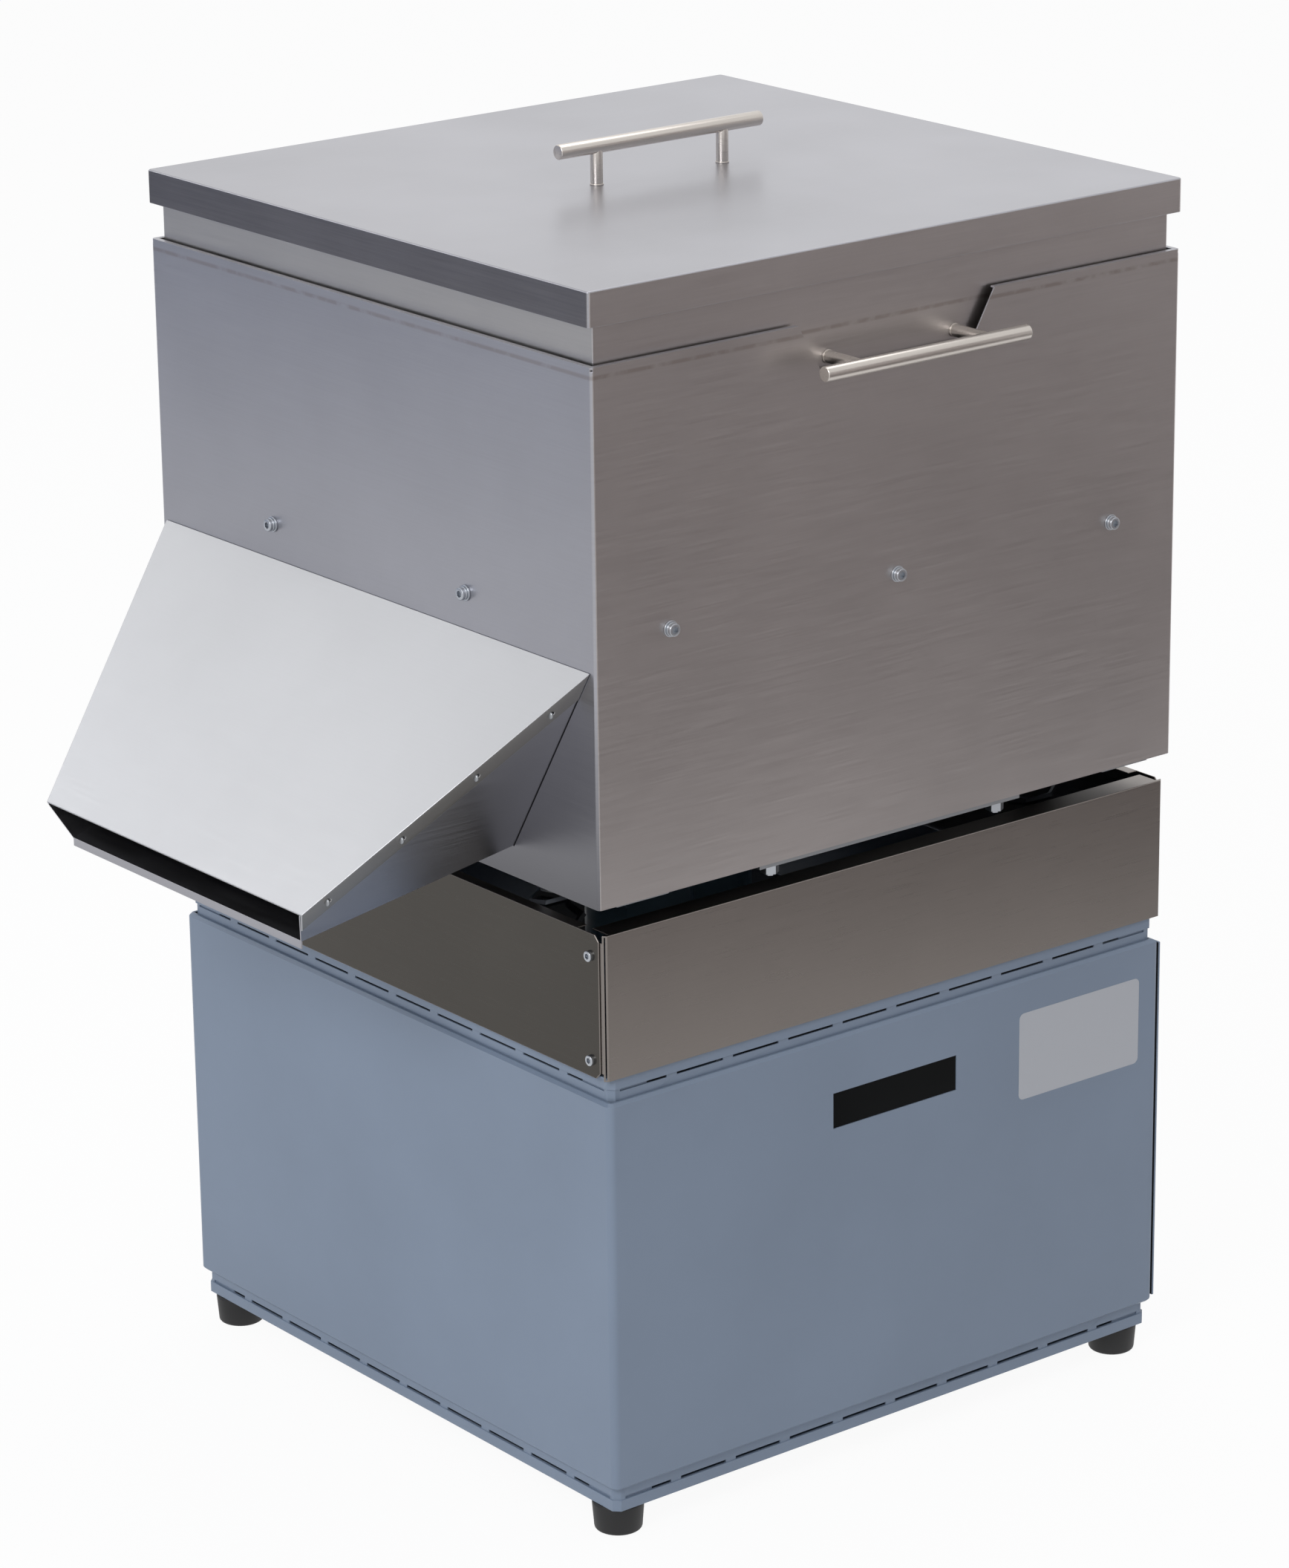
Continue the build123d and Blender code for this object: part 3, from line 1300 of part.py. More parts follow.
def lid_handle_screws():
    seat_z = Z_LID_TOP - LID_SHEET
    length = LID_SHEET + BAR_SCREW_REACH
    return group(cap_screw(M5_LOW, length, (0, y, seat_z), (0, 0, -1))
                 for y in both(BAR_LEG_SPACING / 2))


def trough_with_rivet_holes():
    return flour_trough() - rivet_holes()


def all_nodes():
    """Every separate piece or group of like fasteners, by name."""
    right_panel = frame_side_panel()
    front_panel = frame_end_panel()
    right_handle = side_handle()
    start_z, stop_z = button_places()
    return {
        "rubber_feet": rubber_feet(),
        "foot_bolts": foot_bolts(),
        "foot_nuts": foot_nuts(),
        "base_bottom_frame": base_bottom_frame(),
        "base_top_frame": base_top_frame(),
        "base_corner_posts": base_corner_posts(),
        "base_casing": base_casing(),
        "rear_cover": rear_cover(),
        "rear_cover_screws": rear_cover_screws(),
        "starter_box": starter_box(),
        "start_button": push_button(start_z),
        "stop_button": push_button(stop_z),
        "cable_gland": cable_gland(),
        "gland_nut": gland_nut(),
        "frame_right_panel": right_panel,
        "frame_left_panel": mirrored(right_panel),
        "frame_front_panel": front_panel,
        "frame_rear_panel": mirror(front_panel, Plane.XZ),
        "frame_screws": frame_screws(),
        "spring_deck": spring_deck(),
        "deck_bolts": deck_bolts(),
        "deck_nuts": deck_nuts(),
        "lower_spring_seats": lower_spring_seats(),
        "suspension_springs": suspension_springs(),
        "upper_spring_seats": upper_spring_seats(),
        "spring_beams": spring_beams(),
        "body_casing": body_casing(),
        "flour_trough": trough_with_rivet_holes(),
        "chute_cover": chute_cover(),
        "chute_rivets": chute_rivets(),
        "sieve_ledges": sieve_ledges(),
        "ledge_screws": ledge_screws(),
        "ledge_nuts": ledge_nuts(),
        "motor_plate": motor_plate(),
        "motor_plate_bolts": motor_plate_bolts(),
        "motor_plate_nuts": motor_plate_nuts(),
        "motor_housing": motor_housing(),
        "motor_end_shields": motor_end_shields(),
        "motor_bearings": motor_bearings(),
        "motor_caps": motor_caps(),
        "motor_stator": motor_stator(),
        "motor_terminal_box": motor_terminal_box(),
        "motor_bolts": motor_bolts(),
        "motor_nuts": motor_nuts(),
        "rotor_shaft": rotor_shaft(),
        "rotor_core": rotor_core(),
        "eccentric_weights": eccentric_weights(),
        "sieve_rim": sieve_rim(),
        "sieve_support_bars": sieve_support_bars(),
        "sieve_mesh": sieve_mesh(),
        "hopper_walls": hopper_walls(),
        "right_handle": right_handle,
        "left_handle": mirrored(right_handle),
        "side_handle_screws": side_handle_screws(),
        "lid_shell": lid_shell(),
        "lid_handle": lid_handle(),
        "lid_handle_screws": lid_handle_screws(),
    }


def main():
    os.makedirs("parts", exist_ok=True)
    for name, shape in all_nodes().items():
        export_step(Pos(0, -ORIGIN_Y, 0) * shape, f"parts/{name}.step")
    print("origin at machine y", round(ORIGIN_Y, 3), "top", Z_LID_TOP + LID_BAR_RISE + BAR_DIA / 2)


main()
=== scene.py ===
"""Looks for a flour sifting machine: painted base, spring frame, brushed steel body, chute, sieve and lid."""

import json
import math

import bpy
from bpy.props import FloatProperty, FloatVectorProperty, IntProperty, PointerProperty
from mathutils import Matrix, Vector


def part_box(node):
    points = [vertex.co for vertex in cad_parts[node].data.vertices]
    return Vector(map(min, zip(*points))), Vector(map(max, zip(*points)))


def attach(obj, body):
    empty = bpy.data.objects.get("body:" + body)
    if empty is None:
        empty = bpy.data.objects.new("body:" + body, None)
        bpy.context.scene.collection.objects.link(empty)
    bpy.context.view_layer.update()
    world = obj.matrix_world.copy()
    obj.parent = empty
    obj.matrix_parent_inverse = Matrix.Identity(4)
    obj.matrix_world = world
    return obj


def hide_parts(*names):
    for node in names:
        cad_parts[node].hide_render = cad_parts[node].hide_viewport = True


bl_info = {
    "name": "Flour sifting machine",
    "version": (1, 0, 0),
    "blender": (4, 5, 0),
    "location": "View3D > Sidebar > Sifter",
    "description": "Dresses the packed frame of a flour sifting machine with its finishes, screws, feet and handles",
    "category": "Object",
}

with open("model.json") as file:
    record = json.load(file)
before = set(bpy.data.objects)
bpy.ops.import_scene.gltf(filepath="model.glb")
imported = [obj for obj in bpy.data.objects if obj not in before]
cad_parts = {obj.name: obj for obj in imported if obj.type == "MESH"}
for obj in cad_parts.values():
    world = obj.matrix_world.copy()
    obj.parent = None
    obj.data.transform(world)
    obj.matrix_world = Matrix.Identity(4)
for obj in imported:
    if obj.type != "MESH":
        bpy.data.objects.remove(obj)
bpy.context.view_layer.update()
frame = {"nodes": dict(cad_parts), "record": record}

MM = 0.001

# Handles: round bars on round legs, each leg with a thin collar at its foot
BAR_RADIUS = 6.0 * MM
LEG_RADIUS = 5.0 * MM
LEG_SPACING = 128.0 * MM
COLLAR_THICKNESS = 1.2 * MM
COLLAR_RIM = 0.5 * MM

# Bare plate: its middle behind the machine's middle line, its level, and its thickness, half of which stands proud
PLATE_BEHIND = 199.5 * MM
PLATE_LEVEL = 303.5 * MM
PLATE_THICKNESS = 0.3 * MM

# Base: from a ring's outer edge to the step that its slots run along, the slots' depth, and a foot's taper
RING_STEP = 9.5 * MM
SLOT_DEPTH = 8.0 * MM
FOOT_TAPER = 2.0 * MM

# Body: the height of a rivet's dome, and the relief holes' depth and the middle of it under the body's rim
RIVET_DOME = 1.6 * MM
RELIEF_DEPTH = 5.0 * MM
RELIEF_BELOW_RIM = 1.5 * MM

# Glue line on the body: how far under the rim, and half its height
GLUE_BELOW_RIM = 8.0 * MM
GLUE_HEIGHT = 2.2 * MM

# Painted dark reflection at the foot of the body's front and rear walls: from which level to which it fades, and the
# share of the colour left at its lowest
PAINTED_REFLECTION_FOOT = (530 * MM, 700 * MM, 0.4)

# Socket cap screws: head radius, head height, the plain head's height in the CAD node, and the washers under the head
# as radius and thickness
BODY_SCREW = (5.0 * MM, 6.0 * MM, 6.0 * MM, ((6.4 * MM, 1.6 * MM), (5.4 * MM, 1.6 * MM)))
PANEL_SCREW = (4.25 * MM, 5.0 * MM, 5.0 * MM, ())

BODY_OF = {node: body for body, nodes in frame["record"]["behaviour"]["bodies"].items() for node in nodes}

# The machine's own middle line stands behind the frame's origin, which is under the middle of the outline
AXIS_Y = (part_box("base_casing")[0][1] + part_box("base_casing")[1][1]) / 2

# Camera, solved from the straight edges of the machine in the photograph
CAMERA_PLACE = (3.30747, AXIS_Y - 2.639655, 1.90184)
CAMERA_AZIMUTH = math.radians(51.656)
CAMERA_ELEVATION = math.radians(18.400)
CAMERA_ROLL = math.radians(-0.703)
CAMERA_SENSOR = 36.0
CAMERA_LENS = 123.92


def linear(hex_colour):
    """An sRGB colour such as #7A8799, as linear red, green, blue and alpha."""
    channels = [int(hex_colour[i:i + 2], 16) / 255 for i in (1, 3, 5)]
    return tuple(c / 12.92 if c <= 0.04045 else ((c + 0.055) / 1.055) ** 2.4 for c in channels) + (1.0,)


def colour_property(name, description, hex_colour):
    """A colour that a user can change."""
    return FloatVectorProperty(name=name, description=description, subtype="COLOR", size=4, min=0, max=1,
                               default=linear(hex_colour))


def length_property(name, description, millimetres):
    """A length that a user can change, with its default in millimetres."""
    return FloatProperty(name=name, description=description, unit="LENGTH", subtype="DISTANCE", min=0,
                         default=millimetres * MM)


class SifterColours(bpy.types.PropertyGroup):
    """Colours of the machine's finishes."""
    paint: colour_property("Base paint", "Powder coat of the base", "#7A889B")
    sheet: colour_property("Body sheet", "Brushed stainless steel of the body, lid and hopper", "#A5A5AB")
    chute: colour_property("Chute sheet", "Matte stainless steel of the chute's cover", "#BDBEC1")
    # Its darker, warmer colour than the body sheet is partly a painted reflection of the dark floor
    panel: colour_property("Frame sheet", "Bright-rolled stainless steel of the spring frame", "#847E7A")
    # Painted shade: a darker copy of the sheet colour for the front of the lid's skirt
    skirt: colour_property("Lid skirt", "Duller front of the lid's turned-down edge", "#737174")
    # Painted shade: a darker copy of the frame sheet's colour for the spring frame's front
    shade: colour_property("Frame front", "Duller front of the spring frame", "#4A4743")
    # Painted light: a lighter copy of the sheet colour for the hopper's front faces
    hopper: colour_property("Hopper front", "Clean front of the hopper under the lid", "#B6B3B0")
    # Painted reflection: a lighter, warmer copy of the sheet colour for the faces that look sideways
    side: colour_property("Side sheet", "The same sheet on the two sides, which look warmer", "#B6B1B0")
    # Painted shade: a darker copy of the chute's colour for its downward-looking flanges
    flange: colour_property("Chute flange", "Duller slanting flanges of the chute's cover", "#989694")
    residue: colour_property("Residue", "Glue left by the film that the sheet came with", "#6B5743")
    bar: colour_property("Handle bar", "Satin stainless steel of the three bar handles", "#C6C0BA")
    zinc: colour_property("Zinc", "Zinc plating of the screws and nuts", "#B2B6BC")
    rubber: colour_property("Rubber", "Black rubber of the feet", "#0D0D0F")
    plate: colour_property("Blank plate", "Foil of the bare plate on the base", "#B2B5BB")


class SifterSizes(bpy.types.PropertyGroup):
    """Sizes of the small pieces that dress the frame."""
    plate_width: length_property("Plate width", "Width of the bare plate on the base", 133)
    plate_height: length_property("Plate height", "Height of the bare plate on the base", 75)
    plate_corner: length_property("Plate corner", "Corner radius of the bare plate", 5)
    foot_rim: length_property("Foot rim", "Rounding of a rubber foot's edges", 2.5)
    slot_length: length_property("Slot length", "Length of the slots along the step of the base's rings", 46)
    slot_height: length_property("Slot height", "Height of those slots", 2.4)
    slot_pitch: length_property("Slot pitch", "Distance from slot to slot", 56)
    mesh_pitch: length_property("Mesh pitch", "Distance from wire to wire of the sieve's mesh, coarser than life", 5)
    mesh_wire: length_property("Mesh wire", "Diameter of the sieve's wires", 0.8)
    relief: length_property("Relief hole", "Radius of the relief holes at the top corners of the body", 1.8)
    socket_share: FloatProperty(name="Socket", description="Width of a cap screw's socket as a share of its head",
                                subtype="FACTOR", min=0.2, max=0.8, default=0.5)
    round_steps: IntProperty(name="Round steps", description="Sides of the round pieces", min=12, max=96, default=40)


# Small tools


def colours():
    """The scene's colour properties."""
    return bpy.context.scene.sifter_colours


def sizes():
    """The scene's size properties."""
    return bpy.context.scene.sifter_sizes


def deselect():
    """Leave edit mode and select nothing."""
    if bpy.context.mode != "OBJECT":
        bpy.ops.object.mode_set(mode="OBJECT")
    bpy.ops.object.select_all(action="DESELECT")


def select(*objects):
    """Select these objects alone, with the first one active."""
    deselect()
    for o in objects:
        o.select_set(True)
    bpy.context.view_layer.objects.active = objects[0]


def apply_place(o):
    """Move an object's place, turn and scale into its mesh."""
    select(o)
    bpy.ops.object.transform_apply(location=True, rotation=True, scale=True)


def join(pieces, name):
    """Join pieces to one object with its origin at the frame's origin."""
    for piece in pieces:
        apply_place(piece)
    select(*pieces)
    if len(pieces) > 1:
        bpy.ops.object.join()
    joined = bpy.context.view_layer.objects.active
    joined.name = name
    joined.data.name = name
    return joined


def smooth(o, degrees=30):
    """Shade an object smooth, apart from edges sharper than an angle."""
    select(o)
    bpy.ops.object.shade_smooth_by_angle(angle=math.radians(degrees))


def even_normals(o):
    """Let the large flat faces keep their own shading beside small rounded edges."""
    weigh = o.modifiers.new("even", "WEIGHTED_NORMAL")
    weigh.mode = "FACE_AREA"
    weigh.weight = 100
    weigh.keep_sharp = True
    select(o)
    bpy.ops.object.modifier_apply(modifier="even")


def finish_piece(o, body, slot, material, *replaced):
    """Give a piece its material and its body, and hide the CAD nodes that it stands for. The slot is not used."""
    o.data.materials.clear()
    o.data.materials.append(material)
    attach(o, body)
    if replaced:
        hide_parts(*replaced)


def drawn_area(mesh):
    """The area of the triangles that a mesh is drawn with."""
    mesh.calc_loop_triangles()
    return sum(triangle.area for triangle in mesh.loop_triangles)


def twin(node, name):
    """A loose copy of a CAD node with its doubled points merged, and its flat faces joined up.
    Where a face with a hole would be drawn closed by that, such as a rim, the copy keeps its triangles."""
    source = frame["nodes"][node]
    select(source)
    bpy.ops.object.duplicate()
    copy = bpy.context.view_layer.objects.active
    copy.name = name
    copy.parent = None
    copy.matrix_world = Matrix.Identity(4)
    bpy.ops.object.mode_set(mode="EDIT")
    bpy.ops.mesh.select_all(action="SELECT")
    bpy.ops.mesh.remove_doubles(threshold=0.00002)
    bpy.ops.object.mode_set(mode="OBJECT")
    triangles = copy.data.copy()
    before = drawn_area(triangles)
    select(copy)
    bpy.ops.object.mode_set(mode="EDIT")
    bpy.ops.mesh.select_all(action="SELECT")
    bpy.ops.mesh.dissolve_limited(angle_limit=math.radians(1), use_dissolve_boundaries=False)
    bpy.ops.object.mode_set(mode="OBJECT")
    if abs(drawn_area(copy.data) - before) > 0.001 * before:
        copy.data = triangles
    return copy


def solids(node):
    """The lowest and highest corner of each separate solid of a CAD node."""
    copy = twin(node, "measured")
    bpy.ops.object.mode_set(mode="EDIT")
    bpy.ops.mesh.select_all(action="SELECT")
    bpy.ops.mesh.separate(type="LOOSE")
    bpy.ops.object.mode_set(mode="OBJECT")
    parts = list(bpy.context.selected_objects)
    boxes = []
    for part in parts:
        corners = [Vector(c) for c in part.bound_box]
        low = Vector(min(c[i] for c in corners) for i in range(3))
        high = Vector(max(c[i] for c in corners) for i in range(3))
        boxes.append((low, high))
    for part in parts:
        bpy.data.objects.remove(part)
    return sorted(boxes, key=lambda box: tuple(round(v, 4) for v in box[0]))


def outward(low, high):
    """For a screw through a wall: the axis it lies along, and the side of the machine it stands on."""
    spans = high - low
    axis = max(range(3), key=lambda i: spans[i])
    middle = ((low + high) / 2) - Vector((0, AXIS_Y, 0))
    return axis, (1 if middle[axis] > 0 else -1)


# Materials


def add_node(tree, kind, settings=None, inputs=None):
    """Add a node with its settings, and fill its inputs with values or from other nodes' outputs."""
    made = tree.nodes.new(kind)
    for key, value in (settings or {}).items():
        setattr(made, key, value)
    for key, value in (inputs or {}).items():
        if isinstance(value, bpy.types.NodeSocket):
            tree.links.new(value, made.inputs[key])
        else:
            made.inputs[key].default_value = value
    return made


def new_material(name, colour, metallic, roughness):
    """A material with its shader's own sockets set to the finish's typical values."""
    found = bpy.data.materials.get(name)
    if found:
        bpy.data.materials.remove(found)
    material = bpy.data.materials.new(name)
    material.use_nodes = True
    tree = material.node_tree
    shader = tree.nodes["Principled BSDF"]
    shader.inputs["Base Color"].default_value = tuple(colour)
    shader.inputs["Metallic"].default_value = metallic
    shader.inputs["Roughness"].default_value = roughness
    return material, tree, shader


def between(tree, noise, low, high):
    """A noise pattern's middle range, spread from a low to a high value."""
    return add_node(tree, "ShaderNodeMapRange", inputs={
        "Value": noise, "From Min": 0.3, "From Max": 0.7, "To Min": low, "To Max": high}).outputs["Result"]


def scaled(tree, colour, share):
    """A colour made lighter or darker by a share."""
    return add_node(tree, "ShaderNodeVectorMath", {"operation": "SCALE"}, {0: colour, "Scale": share}).outputs["Vector"]


def add_bump(tree, shader, height, strength):
    """A relief of at most 0.05 mm on a shader."""
    bump = add_node(tree, "ShaderNodeBump", inputs={"Strength": strength, "Distance": 0.05 * MM, "Height": height})
    tree.links.new(bump.outputs["Normal"], shader.inputs["Normal"])


def with_residue(tree, place, shade, level, height):
    """Tone a colour with the brownish, broken line of glue that a protective film leaves at a level."""
    z = add_node(tree, "ShaderNodeSeparateXYZ", inputs={0: place}).outputs["Z"]
    away = add_node(tree, "ShaderNodeMath", {"operation": "SUBTRACT"}, {0: z, 1: level})
    away = add_node(tree, "ShaderNodeMath", {"operation": "ABSOLUTE"}, {0: away.outputs["Value"]})
    line = add_node(tree, "ShaderNodeMapRange", inputs={
        "Value": away.outputs["Value"], "From Min": height * 0.4, "From Max": height, "To Min": 1.0, "To Max": 0.0})
    patch = 14 * MM
    torn = add_node(tree, "ShaderNodeTexNoise", inputs={"Vector": place, "Scale": 1 / patch, "Detail": 5.0})
    broken = add_node(tree, "ShaderNodeMapRange", inputs={
        "Value": torn.outputs["Fac"], "From Min": 0.30, "From Max": 0.52, "To Min": 0.0, "To Max": 0.30})
    share = add_node(tree, "ShaderNodeMath", {"operation": "MULTIPLY"},
                     {0: line.outputs["Result"], 1: broken.outputs["Result"]})
    mix = add_node(tree, "ShaderNodeMix", {"data_type": "RGBA"}, {0: share.outputs["Value"], 6: shade})
    mix.inputs[7].default_value = tuple(colours().residue)
    return mix.outputs[2]


def with_painted_reflection_foot(tree, place, shade, low, high, share):
    """Darken a colour towards the foot of a wall, as a painted dark reflection of the dark gap under it."""
    z = add_node(tree, "ShaderNodeSeparateXYZ", inputs={0: place}).outputs["Z"]
    tone = add_node(tree, "ShaderNodeMapRange", inputs={
        "Value": z, "From Min": low, "From Max": high, "To Min": share, "To Max": 1.0})
    return scaled(tree, shade, tone.outputs["Result"])


def brushed_stainless(name, colour, roughness=0.34, grain="XY", clouds=0.08, streak=0.025, residue=None, foot=None):
    """Brushed stainless sheet. Belt brushing leaves fine parallel lines, and handling a cloudy sheen."""
    material, tree, shader = new_material(name, colour, 1.0, roughness)
    place = add_node(tree, "ShaderNodeTexCoord").outputs["Object"]
    # Lines of about 0.9 mm show in the render; the real ones are finer
    line_width, line_length, cloud_width = 0.9 * MM, 60 * MM, 220 * MM
    scale = tuple(1 / line_length if axis in grain else 1 / line_width for axis in "XYZ")
    across = add_node(tree, "ShaderNodeMapping", inputs={"Vector": place, "Scale": scale})
    lines = add_node(tree, "ShaderNodeTexNoise",
                     inputs={"Vector": across.outputs["Vector"], "Scale": 1.0, "Detail": 3.0}).outputs["Fac"]
    cloud = add_node(tree, "ShaderNodeTexNoise",
                     inputs={"Vector": place, "Scale": 1 / cloud_width, "Detail": 4.0}).outputs["Fac"]
    tone = between(tree, cloud, 1 - clouds, 1 + clouds / 2)
    fine = between(tree, lines, 1 - streak, 1 + streak)
    both = add_node(tree, "ShaderNodeMath", {"operation": "MULTIPLY"}, {0: tone, 1: fine}).outputs["Value"]
    shade = scaled(tree, colour[:3], both)
    if residue:
        shade = with_residue(tree, place, shade, *residue)
    # foot: painted dark reflection, darker towards the wall's foot
    if foot:
        shade = with_painted_reflection_foot(tree, place, shade, *foot)
    tree.links.new(shade, shader.inputs["Base Color"])
    tree.links.new(between(tree, lines, roughness - 0.03, roughness + 0.04), shader.inputs["Roughness"])
    add_bump(tree, shader, lines, 0.12)
    return material


def powder_coat(name, colour):
    """Polyester powder coat on steel: satin, with a fine orange-peel and a slightly uneven tone."""
    material, tree, shader = new_material(name, colour, 0.0, 0.42)
    place = add_node(tree, "ShaderNodeTexCoord").outputs["Object"]
    peel_width, cloud_width = 1.6 * MM, 160 * MM
    peel = add_node(tree, "ShaderNodeTexNoise",
                    inputs={"Vector": place, "Scale": 1 / peel_width, "Detail": 2.0}).outputs["Fac"]
    cloud = add_node(tree, "ShaderNodeTexNoise",
                     inputs={"Vector": place, "Scale": 1 / cloud_width, "Detail": 4.0}).outputs["Fac"]
    tree.links.new(scaled(tree, colour[:3], between(tree, cloud, 0.95, 1.04)), shader.inputs["Base Color"])
    add_bump(tree, shader, peel, 0.08)
    return material


def plain_finish(name, colour, metallic, roughness):
    """A finish that is even all over."""
    return new_material(name, colour, metallic, roughness)[0]


def make_materials():
    """Every finish, by the record's material slot or by the name that SHEETS and OTHER_FACES give it."""
    c = colours()
    glue = (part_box("body_casing")[1][2] - GLUE_BELOW_RIM, GLUE_HEIGHT)
    return {
        # Belt-brushed stainless: a cool grey, streaked along the brushing, that blurs the room it mirrors
        "stainless_sheet": brushed_stainless("brushed stainless sheet", c.sheet),
        # The body's front and rear add a broken brown line of glue near the rim, and towards the foot a painted dark
        # reflection of the dark gap
        "stainless_body": brushed_stainless("brushed stainless body", c.sheet, residue=glue, foot=PAINTED_REFLECTION_FOOT),
        # The lid is brushed from front to rear, and hands have left it cloudier
        "stainless_lid": brushed_stainless("brushed stainless lid", c.sheet, 0.32, "Y", 0.10, 0.05),
        # Painted reflection: the sides get a lighter, warmer copy of the sheet colour for the room beside the machine
        # that they mirror
        "stainless_side_painted_reflection": brushed_stainless("brushed stainless sides with painted reflection", c.side, residue=glue),
        # Painted light: the hopper's front faces get a lighter copy of the sheet colour, the lightest of the upright
        # sheets
        "stainless_hopper_painted_light": brushed_stainless("stainless hopper with painted light", c.hopper),
        # The skirt's front faces get a darker copy of the sheet colour, which is painted shade, and stronger blotches
        # from being touched at each opening
        "stainless_skirt_wear_and_painted_shade": brushed_stainless("handled stainless lid skirt with painted shade", c.skirt, clouds=0.18, streak=0.08),
        # Painted shade: the narrow flanges that look down get a darker copy of the chute's colour, with the grain along
        # them
        "stainless_flange_painted_shade": brushed_stainless("stainless flange with painted shade", c.flange, 0.42, "X", streak=0.03),
        # Painted shade: the frame's front, in the chute's shade, gets a darker copy of the panel colour for the shade
        # it mirrors
        "stainless_shade": brushed_stainless("stainless frame front with painted shade", c.shade, 0.24, streak=0.03),
        # Matte sheet that scatters the light to one even pale tone
        "stainless_chute": brushed_stainless("matte stainless chute", c.chute, 0.42, "X", 0.05, 0.02),
        # Bright-rolled sheet: smoother, so it mirrors the floor with a soft edge; its darker, warmer colour is partly a
        # painted reflection of the dark floor
        "stainless_panel": brushed_stainless("bright-rolled stainless panel", c.panel, 0.3, clouds=0.06, streak=0.02),
        # Drawn and ground bar: a narrow highlight along its length
        "stainless_bar": brushed_stainless("satin stainless bar", c.bar, 0.3, "Y", 0.02, 0.05),
        # Satin blue-grey paint with soft, wide highlights
        "blue_grey_paint": powder_coat("blue-grey powder coat", c.paint),
        # Painted shade: the base's inside faces are near black, so the inside stays dark through the hand slots
        "painted_shade_inside": plain_finish("painted shade inside the base", linear("#191B1E"), 0.0, 0.8),
        # Pale, slightly bluish metal that glints on the screws' edges
        "zinc_steel": plain_finish("zinc-plated steel", c.zinc, 1.0, 0.32),
        # Near-black and matte, with a faint sheen on the rounded rims
        "black_rubber": plain_finish("moulded black rubber", c.rubber, 0.0, 0.55),
        # Duller, greyer metal than the zinc-plated screws
        "plated_steel": plain_finish("galvanised steel", linear("#9A9DA1"), 1.0, 0.45),
        # Dark metal with a wet-looking highlight along the wire
        "spring_steel": plain_finish("oiled spring steel", linear("#4B4E53"), 1.0, 0.4),
        # Blue machine enamel, rougher on the casting and smoother on the pressed caps
        "motor_iron": plain_finish("painted cast iron", linear("#5F7686"), 0.0, 0.5),
        "motor_cap_paint": plain_finish("painted pressed steel", linear("#5F7686"), 0.0, 0.4),
        # The brightest and sharpest of the metals
        "bearing_steel": plain_finish("ground steel", linear("#A7AAAE"), 1.0, 0.2),
        # Sheet stacks that look dark and dull
        "laminated_iron": plain_finish("laminated iron", linear("#55575B"), 1.0, 0.6),
        # Moulded housings without gloss
        "grey_plastic": plain_finish("moulded grey ABS", linear("#4A4D52"), 0.0, 0.5),
        "black_plastic": plain_finish("moulded black nylon", linear("#1A1B1D"), 0.0, 0.5),
        # Glossy button caps with a clear highlight
        "green_plastic": plain_finish("glossy green polycarbonate", linear("#1F8A3B"), 0.0, 0.25),
        "red_plastic": plain_finish("glossy red polycarbonate", linear("#B3211E"), 0.0, 0.25),
        # Smooth pale foil, a little glossier than the paint round it
        "blank_plate": plain_finish("printed-film white vinyl", c.plate, 0.0, 0.35),
    }


MATERIALS = {}


# Operators, one for each piece or group of like pieces


class SIFTER_OT_stage(bpy.types.Operator):
    """Camera, lamps, floor and pale surroundings"""
    bl_idname = "sifter.stage"
    bl_label = "Stage"

    def execute(self, context):
        add_camera(context)
        add_world(context)
        add_lamps()
        add_floor()
        add_card("side card", (3.4, 2.4, 1.1), (0, -math.pi / 2, 0.25), 4.4, 2.2, "#E6DEDC")
        add_card("side floor card", (2.35, 1.5, 0.01), (0, 0, 0.25), 3.6, 2.6, "#A19A98")
        add_card("front card", (-2.6, -2.6, 1.1), (0, math.pi / 2, math.radians(40)), 3.6, 2.2, "#B4BCD0")
        return {"FINISHED"}


def add_camera(context):
    """The camera at the photograph's viewing angle."""
    data = bpy.data.cameras.new("camera")
    data.sensor_fit = "VERTICAL"
    data.sensor_height = CAMERA_SENSOR
    data.lens = CAMERA_LENS
    data.clip_end = 50
    camera = bpy.data.objects.new("camera", data)
    context.collection.objects.link(camera)
    a, e = CAMERA_AZIMUTH, CAMERA_ELEVATION
    back = Vector((math.sin(a) * math.cos(e), -math.cos(a) * math.cos(e), math.sin(e)))
    right = (-back).cross(Vector((0, 0, 1))).normalized()
    up = right.cross(-back)
    c, s = math.cos(CAMERA_ROLL), math.sin(CAMERA_ROLL)
    columns = (c * right + s * up, c * up - s * right, back)
    camera.matrix_world = Matrix.Translation(CAMERA_PLACE) @ Matrix(columns).transposed().to_4x4()
    context.scene.camera = camera


def seen_directly(tree):
    """One where a camera, glossy or transmission ray looks, and zero elsewhere."""
    path = add_node(tree, "ShaderNodeLightPath")
    first = add_node(tree, "ShaderNodeMath", {"operation": "MAXIMUM"},
                     {0: path.outputs["Is Camera Ray"], 1: path.outputs["Is Glossy Ray"]})
    return add_node(tree, "ShaderNodeMath", {"operation": "MAXIMUM"},
                    {0: first.outputs["Value"], 1: path.outputs["Is Transmission Ray"]}).outputs["Value"]


